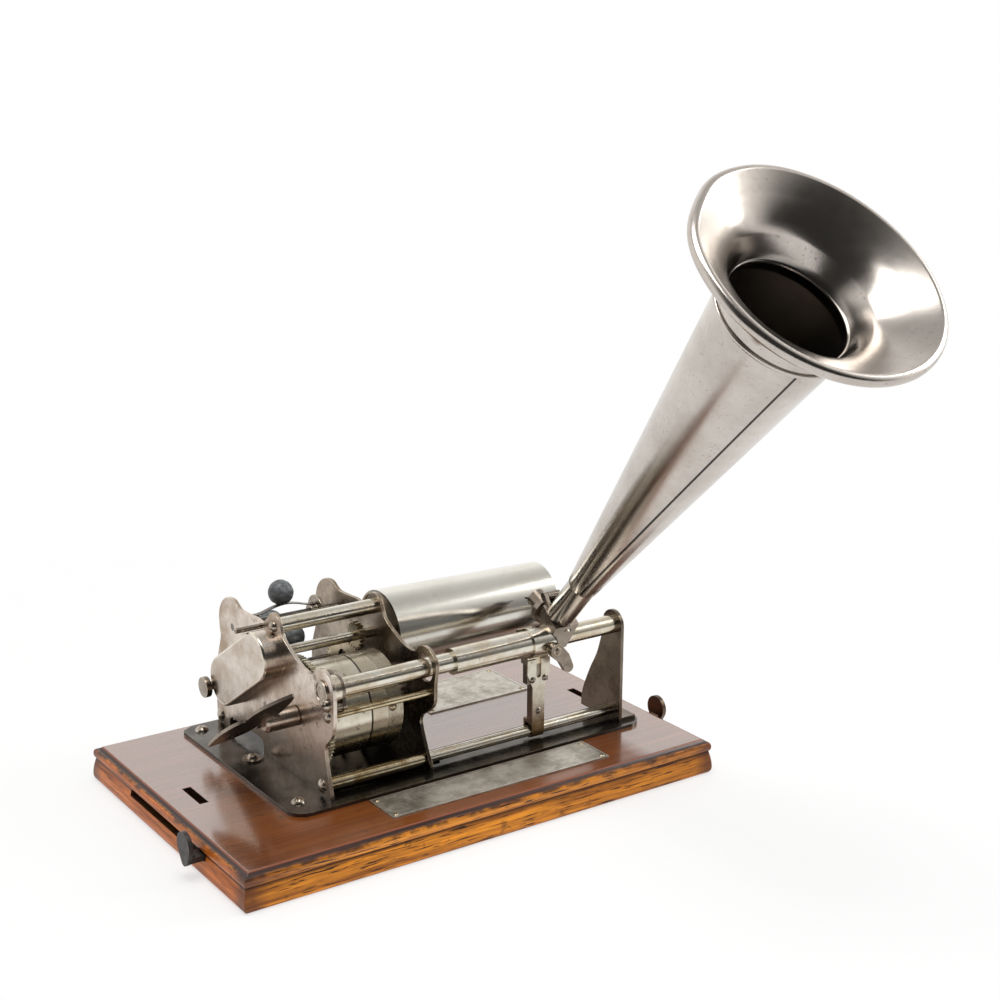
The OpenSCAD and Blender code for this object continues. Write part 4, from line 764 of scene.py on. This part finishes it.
# %% [markdown]
# ## Name plates
# Two nickel plates are pinned to the board. The real ones are etched; here they stay bare, with a border line
# and a field that polishing has worn.

# %% Plate finish
plate_field, tree = start_finish("plate_field")
marks = use_group(tree, tarnish, Cloud_size=9.0, Freckle_size=1.6, Shift=2.9)
edge = use_group(tree, worn_edge, Patchiness=0.3)
fine = use_group(tree, scratches, Along_X=120.0, Across=700.0)
paint = blend_colours(tree, marks["Cloud"], (0.68, 0.645, 0.575), (0.40, 0.36, 0.295))
paint = blend_colours(tree, times(tree, fine["Lines"], 0.35), paint, (0.26, 0.22, 0.17))
paint = blend_colours(tree, times(tree, marks["Freckle"], 0.7), paint, (0.09, 0.07, 0.05))
paint = blend_colours(tree, edge["Wear"], paint, (0.72, 0.69, 0.62))
paint = blend_colours(tree, edge["Soot"], paint, (0.05, 0.042, 0.032))
roughness = rescale(tree, marks["Bloom"], 0.3, 0.7, 0.34, 0.52)
surface(tree, paint, roughness, fine["Lines"], 0.15, 0.3, Metallic=1.0)
print("plate finish made")

# %% [markdown]
# A cube is scaled to each plate. Five insets on its top face, each with its width, drop, wear and ink, make
# the rubbed rim and the sunk border line, and then the upright corners are rounded.

# %% Two bare plates
PLATE_T = 0.8
FRONT_PLATE = ((14.0, -68.0), (139.0, 25.0))
BACK_PLATE = ((70.0, 47.5), (70.0, 41.0))
INSETS = ((0.3, 0.0, 1.0, 0.0), (1.2, 0.0, 0.3, 0.0), (0.12, 0.15, 0.3, 0.6), (0.35, 0.0, 0.0, 1.0),
          (0.12, -0.12, 0.8, 0.0))
plates = bmesh.new()
rubbed = plates.faces.layers.float.new("worn_edge")
inked = plates.faces.layers.float.new("soot_and_shade")
for (x, y), (length, width) in (FRONT_PLATE, BACK_PLATE):
    stand = Matrix.Translation(Vector((x, y, BOARD_TOP / MM + PLATE_T / 2)) * MM)
    size = Matrix.Diagonal((length * MM, width * MM, PLATE_T * MM, 1))
    bmesh.ops.create_cube(plates, size=1.0, matrix=stand @ size)
uprights = [e for e in plates.edges if abs(e.verts[0].co.z - e.verts[1].co.z) > 0.1 * MM]
tops = [f for f in plates.faces if f.normal.z > 0.9]
for thickness, drop, wear, ink in INSETS:
    framed = bmesh.ops.inset_individual(plates, faces=tops, thickness=thickness * MM, depth=0.0)
    for face in framed["faces"]:
        face[rubbed], face[inked] = wear, ink
    bmesh.ops.translate(plates, verts=list({v for f in tops for v in f.verts}), vec=(0, 0, -drop * MM))
for face in tops:
    face[rubbed], face[inked] = 0.0, 0.0
bmesh.ops.bevel(plates, geom=uprights, offset=0.5 * MM, offset_type="OFFSET", segments=2, profile=0.5,
                affect="EDGES", clamp_overlap=True, material=-1)
bmesh.ops.recalc_face_normals(plates, faces=plates.faces)
bare_plates = make_piece("bare_name_plates", plates, solids["name_plates"]["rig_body"],
                         plate_field, ("name_plates",), smooth_angle=15)
print("name plates", len(bare_plates.data.polygons), "faces")

# %% [markdown]
# ## Lead balls
# The governor's three balls are rough lead castings. An icosphere is pitted by pushing each point inwards by
# a noise, so a ball never grows past its solid, and it is flattened where it sits on its spring.

# %% Lead balls of the governor
BALL_R, BALL_OFF, BALL_FLAT = 7.3, 15.0, 0.55
BIG_PIT, SMALL_PIT = 0.55, 0.30
FIRST_BALL, BALL_TURN = 92, 120
GOVERNOR = Vector(joints["governor_spin"]["pos_m"])
balls = bmesh.new()
for direction in range(FIRST_BALL, 360, BALL_TURN):
    outward = Vector((0, cos(radians(direction)), sin(radians(direction))))
    centre = GOVERNOR + outward * BALL_OFF * MM
    cast = bmesh.ops.create_icosphere(balls, subdivisions=5, radius=BALL_R * MM,
                                      matrix=Matrix.Translation(centre))
    for vert in cast["verts"]:
        ray_out = (vert.co - centre).normalized()
        pits = BIG_PIT * max(0.0, noise.noise(vert.co * 420))
        pits += SMALL_PIT * max(0.0, noise.noise(vert.co * 1300))
        vert.co -= ray_out * pits * MM
        low = (vert.co - GOVERNOR).dot(outward) - (BALL_OFF - BALL_R + BALL_FLAT) * MM
        if low < 0:
            vert.co -= outward * low
lead_balls = make_piece("cast_balls", balls, solids["governor_balls"]["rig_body"], cast_lead,
                        ("governor_balls",), smooth_angle=60)
print("balls", len(lead_balls.data.polygons), "faces")

# %% [markdown]
# ## Horn
# The horn is spun and seamed sheet, so it is turned from fine closed profiles: a profile is a loop of points
# in a plane, and the spin operator sweeps it round the horn's axis. The wall has two sides, as the real sheet
# has, and the rolled rim and the bead ring are part of the bell's profile.

# %% Turning
def turned_shape(profile, steps):
    shape = bmesh.new()
    points = [shape.verts.new((r * MM, 0.0, z * MM)) for r, z in profile]
    edges = [shape.edges.new((points[i], points[(i + 1) % len(points)])) for i in range(len(points))]
    bmesh.ops.spin(shape, geom=points + edges, cent=(0, 0, 0), axis=(0, 0, 1), angle=2 * pi, steps=steps,
                   use_merge=True, use_duplicate=False)
    bmesh.ops.remove_doubles(shape, verts=shape.verts, dist=1e-6)
    bmesh.ops.recalc_face_normals(shape, faces=shape.faces)
    return shape


HORN_LEAN = 41
HORN_SEAT = Vector(joints["horn_swivel"]["pos_m"])
horn_stand = Matrix.Translation(HORN_SEAT) @ Matrix.Rotation(radians(HORN_LEAN), 4, "X")
NECK_END, CONE_END, BELL_END = 30.0, 248.0, 282.5
NECK_R, CONE_R, RIM_R, BEAD_R, WALL = 8.0, 33.4, 64.8, 1.3, 0.9


def bell_radius(s):
    return CONE_R + (RIM_R - BEAD_R - CONE_R) * s ** 2.4 * (0.55 + 0.45 * s)


def cone_radius(z):
    return NECK_R + 0.6 + (CONE_R - NECK_R - 0.6) * (z - NECK_END) / (CONE_END - NECK_END)


print("horn axis leans", HORN_LEAN, "degrees")

# %% [markdown]
# The inside of the cone is painted dark as shade. Points on its inner wall carry painted shade in an
# attribute, which grows with the depth below the throat.

# %% Cone of the horn
def paint_shade(shape, amount):
    dark = shape.verts.layers.float.new("soot_and_shade")
    for vert in shape.verts:
        vert[dark] = amount(vert.co.xy.length / MM, vert.co.z / MM)


def cone_shade(radius, z):
    inner = radius < (NECK_R - 0.5 if z < NECK_END else cone_radius(z) - 0.5)
    depth = (CONE_END - z) / 60
    return min(0.7, 0.05 + 0.4 * depth) if inner else 0.0


NECK_FOOT, NECK_BORE, NECK_STEP, CONE_STEPS = 0.3, 6.95, 0.3, 24
cone_outside = [(NECK_R, NECK_FOOT), (NECK_R, NECK_END - 1.6), (NECK_R + NECK_STEP, NECK_END - 1.2),
                (NECK_R + NECK_STEP, NECK_END - 0.2)]
for k in range(CONE_STEPS + 1):
    z = NECK_END + NECK_STEP + (CONE_END - NECK_END - NECK_STEP) * k / CONE_STEPS
    cone_outside.append((cone_radius(z), z))
cone_inside = [(CONE_R - WALL, CONE_END), (CONE_R - WALL - 2.4, CONE_END - 20),
               (CONE_R - WALL - 7.0, CONE_END - 60), (NECK_R + NECK_STEP - WALL, NECK_END + 2),
               (NECK_BORE, NECK_END - 2), (NECK_BORE, NECK_FOOT)]
cone_shape = turned_shape(cone_outside + cone_inside, 160)
paint_shade(cone_shape, cone_shade)
bmesh.ops.transform(cone_shape, matrix=horn_stand, verts=cone_shape.verts)
horn_cone = make_piece("horn_cone_sheet", cone_shape, "horn", horn_nickel, ("horn_cone",))
print("cone", len(horn_cone.data.polygons), "faces")

# %% [markdown]
# The cone was rolled from one sheet and soldered along a lap. A cube is cut into a fine strip, and its points
# are laid along the cone: across becomes a turn, along becomes the axis, and up becomes the thickness. The
# open side of the lap is dark with old solder.

# %% Lap seam
SEAM_FOOT, SEAM_HEAD, SEAM_W, SEAM_T = -124.0, -106.0, 5.2, 0.4
SEAM_OPEN, SEAM_THIN, SEAM_SUNK = -0.2, 0.06, 0.3
seam = bmesh.new()
bmesh.ops.create_cube(seam, size=1.0)
lengthwise = [e for e in seam.edges if abs(e.verts[0].co.y - e.verts[1].co.y) > 0.5]
bmesh.ops.subdivide_edges(seam, edges=lengthwise, cuts=40, use_grid_fill=True)
crosswise = [e for e in seam.edges if abs(e.verts[0].co.x - e.verts[1].co.x) > 0.5]
bmesh.ops.subdivide_edges(seam, edges=crosswise, cuts=7, use_grid_fill=True)
solder = seam.faces.layers.float.new("soot_and_shade")
for face in seam.faces:
    face[solder] = 0.92 if face.calc_center_median().x < SEAM_OPEN - 0.02 else 0.0
for vert in seam.verts:
    across, z = vert.co.x, NECK_END + 2.0 + (CONE_END - NECK_END - 3.0) * (vert.co.y + 0.5)
    rise = (z - NECK_END) / (CONE_END - NECK_END)
    turn = radians(SEAM_FOOT + (SEAM_HEAD - SEAM_FOOT) * rise ** 0.5) + across * SEAM_W / cone_radius(z)
    thick = SEAM_T if across > SEAM_OPEN else SEAM_THIN
    reach = cone_radius(z) + (thick if vert.co.z > 0 else -SEAM_SUNK)
    vert.co = Vector((reach * cos(turn), reach * sin(turn), z)) * MM
bmesh.ops.transform(seam, matrix=horn_stand, verts=seam.verts)
lap_seam = make_piece("horn_lap_seam", seam, "horn", horn_nickel)
print("seam", len(lap_seam.data.polygons), "faces")

# %% [markdown]
# The bell ends in a wide rolled lip, and a small ring inside marks where it joins the cone. The sheet is
# thin, and knocks have left the rim a little out of round. Each knock has a direction, a width in degrees and
# a depth, and the bell's points are moved in or out smoothly near it.

# %% Bell of the horn
def ring_arc(centre, radius, start, stop, count):
    return [(centre[0] + radius * cos(radians(start + (stop - start) * k / count)),
             centre[1] + radius * sin(radians(start + (stop - start) * k / count))) for k in range(count + 1)]


LIP_R, FLARE_STEPS = 3.0, 30
THROAT_RING = ((33.4, 10.0), (31.8, 7.2), (31.3, 6.6), (30.8, 6.3), (30.5, 5.6), (30.9, 4.9), (31.6, 0.2))
KNOCKS = ((134.0, 20.0, 2.4), (182.0, 24.0, 1.0), (100.0, 12.0, 0.5), (-22.0, 40.0, -1.4))
bead = (CONE_R + BEAD_R * 0.5, CONE_END + BEAD_R)
lip = (RIM_R - LIP_R, BELL_END + BEAD_R - LIP_R)
flare = [(bell_radius(k / FLARE_STEPS), CONE_END + (BELL_END - CONE_END) * k / FLARE_STEPS)
         for k in range(FLARE_STEPS - 2)]
outside = ring_arc(bead, BEAD_R, -100, 100, 10) + flare[4:27] + ring_arc(lip, LIP_R - WALL, 118, -60, 16)
inner_flare = [(r - WALL, z + WALL * k / FLARE_STEPS) for k, (r, z) in enumerate(flare)]
inside = ring_arc(lip, LIP_R, -60, 118, 20) + inner_flare[26:14:-1]
throat = [(radius, CONE_END + up) for radius, up in THROAT_RING]
bell_shape = turned_shape(outside + inside + throat, 192)
# The throat inside the joining ring is painted half dark as shade.
paint_shade(bell_shape, lambda radius, z: 0.5 if radius < 32.0 and z < CONE_END + 8.0 else 0.0)
for vert in bell_shape.verts:
    turn = degrees(atan2(vert.co.y, vert.co.x))
    depth = sum(deep * exp(-(((turn - at + 180) % 360 - 180) / wide) ** 2) for at, wide, deep in KNOCKS)
    lift = min(1.0, max(0.0, (vert.co.z / MM - CONE_END) / (BELL_END - CONE_END)))
    vert.co.xy *= 1 - lift ** 2 * depth * MM / vert.co.xy.length
bmesh.ops.transform(bell_shape, matrix=horn_stand, verts=bell_shape.verts)
horn_bell = make_piece("horn_bell_sheet", bell_shape, "horn", horn_nickel, ("horn_bell",))
print("bell", len(horn_bell.data.polygons), "faces")

# %% [markdown]
# ## Small fittings on the left plate
# A half-round collar hides the little gear behind the plate. It is a strip spun part of the way round the
# tube, so the gear's teeth still have room on the far side.

# %% Collar behind the plate
TUBE = Vector(joints["feed_spin"]["pos_m"])
PLATE_IN, PLATE_OUT = -71.6, -73.6
COLLAR_X0, COLLAR_X1 = PLATE_IN + 0.1, PLATE_IN + 5.6
COLLAR_BORE, COLLAR_R = 7.25, 7.65
COLLAR_START, COLLAR_TURN = 45, 205
collar = bmesh.new()
strip = [(COLLAR_X0, COLLAR_BORE), (COLLAR_X1, COLLAR_BORE), (COLLAR_X1, COLLAR_R), (COLLAR_X0, COLLAR_R)]
start = Matrix.Rotation(radians(COLLAR_START), 3, "X") @ Vector((0, 1, 0))
points = [collar.verts.new(TUBE + Vector((x * MM, 0, 0)) + start * r * MM) for x, r in strip]
edges = [collar.edges.new((points[i], points[(i + 1) % 4])) for i in range(4)]
bmesh.ops.spin(collar, geom=points + edges, cent=TUBE, axis=(1, 0, 0), angle=radians(COLLAR_TURN), steps=40)
bmesh.ops.holes_fill(collar, edges=[e for e in collar.edges if e.is_boundary], sides=4)
bmesh.ops.recalc_face_normals(collar, faces=collar.faces)
tube_collar = make_piece("tube_collar", collar, solids["left_motor_plate"]["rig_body"],
                         rod_nickel)
print("collar", len(tube_collar.data.polygons), "faces")

# %% [markdown]
# A slotted screw sits below the bearing's cap. Its head is turned, two cuts mark the sides of the slot, and
# the points between them are pushed down to the slot's floor, which is dark.

# %% Bearing screw
SCREW_AT = Vector((PLATE_OUT, -45.2, 74.4)) * MM
SCREW_HEAD = ((0.0, -0.5), (3.5, -0.5), (3.5, 1.1), (3.3, 1.5), (2.6, 1.95), (1.6, 2.25), (0.0, 2.35))
SLOT_HALF, SLOT_FLOOR, SLOT_TURN = 0.42 * MM, 1.2 * MM, 20
screw = turned_shape(SCREW_HEAD, 40)
mark = screw.faces.layers.float.new("soot_and_shade")
turn_out = Matrix.Rotation(radians(-90), 4, "Y")
for side in (-1, 1):
    plane = Vector((side * SLOT_HALF, 0, 0))
    bmesh.ops.bisect_plane(screw, geom=screw.verts[:] + screw.edges[:] + screw.faces[:], plane_co=plane,
                           plane_no=(1, 0, 0), dist=1e-7)
for vert in screw.verts:
    if abs(vert.co.x) < SLOT_HALF - 0.02 * MM and vert.co.z > SLOT_FLOOR:
        vert.co.z = SLOT_FLOOR
for face in screw.faces:
    middle = face.calc_center_median()
    in_slot = abs(middle.x) < SLOT_HALF + 0.01 * MM and middle.z > SLOT_FLOOR - 0.2 * MM
    face[mark] = 0.9 if in_slot else 0.0
slot_turn = Matrix.Rotation(radians(SLOT_TURN), 4, "Z")
bmesh.ops.transform(screw, matrix=Matrix.Translation(SCREW_AT) @ turn_out @ slot_turn, verts=screw.verts)
bearing_screw = make_piece("bearing_screw", screw, solids["left_motor_plate"]["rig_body"],
                           screw_nickel)
print("screw", len(bearing_screw.data.polygons), "faces")

# %% View transform
studio.view_settings.view_transform = "Standard"
print("boxes written for", len(solids), "solids")
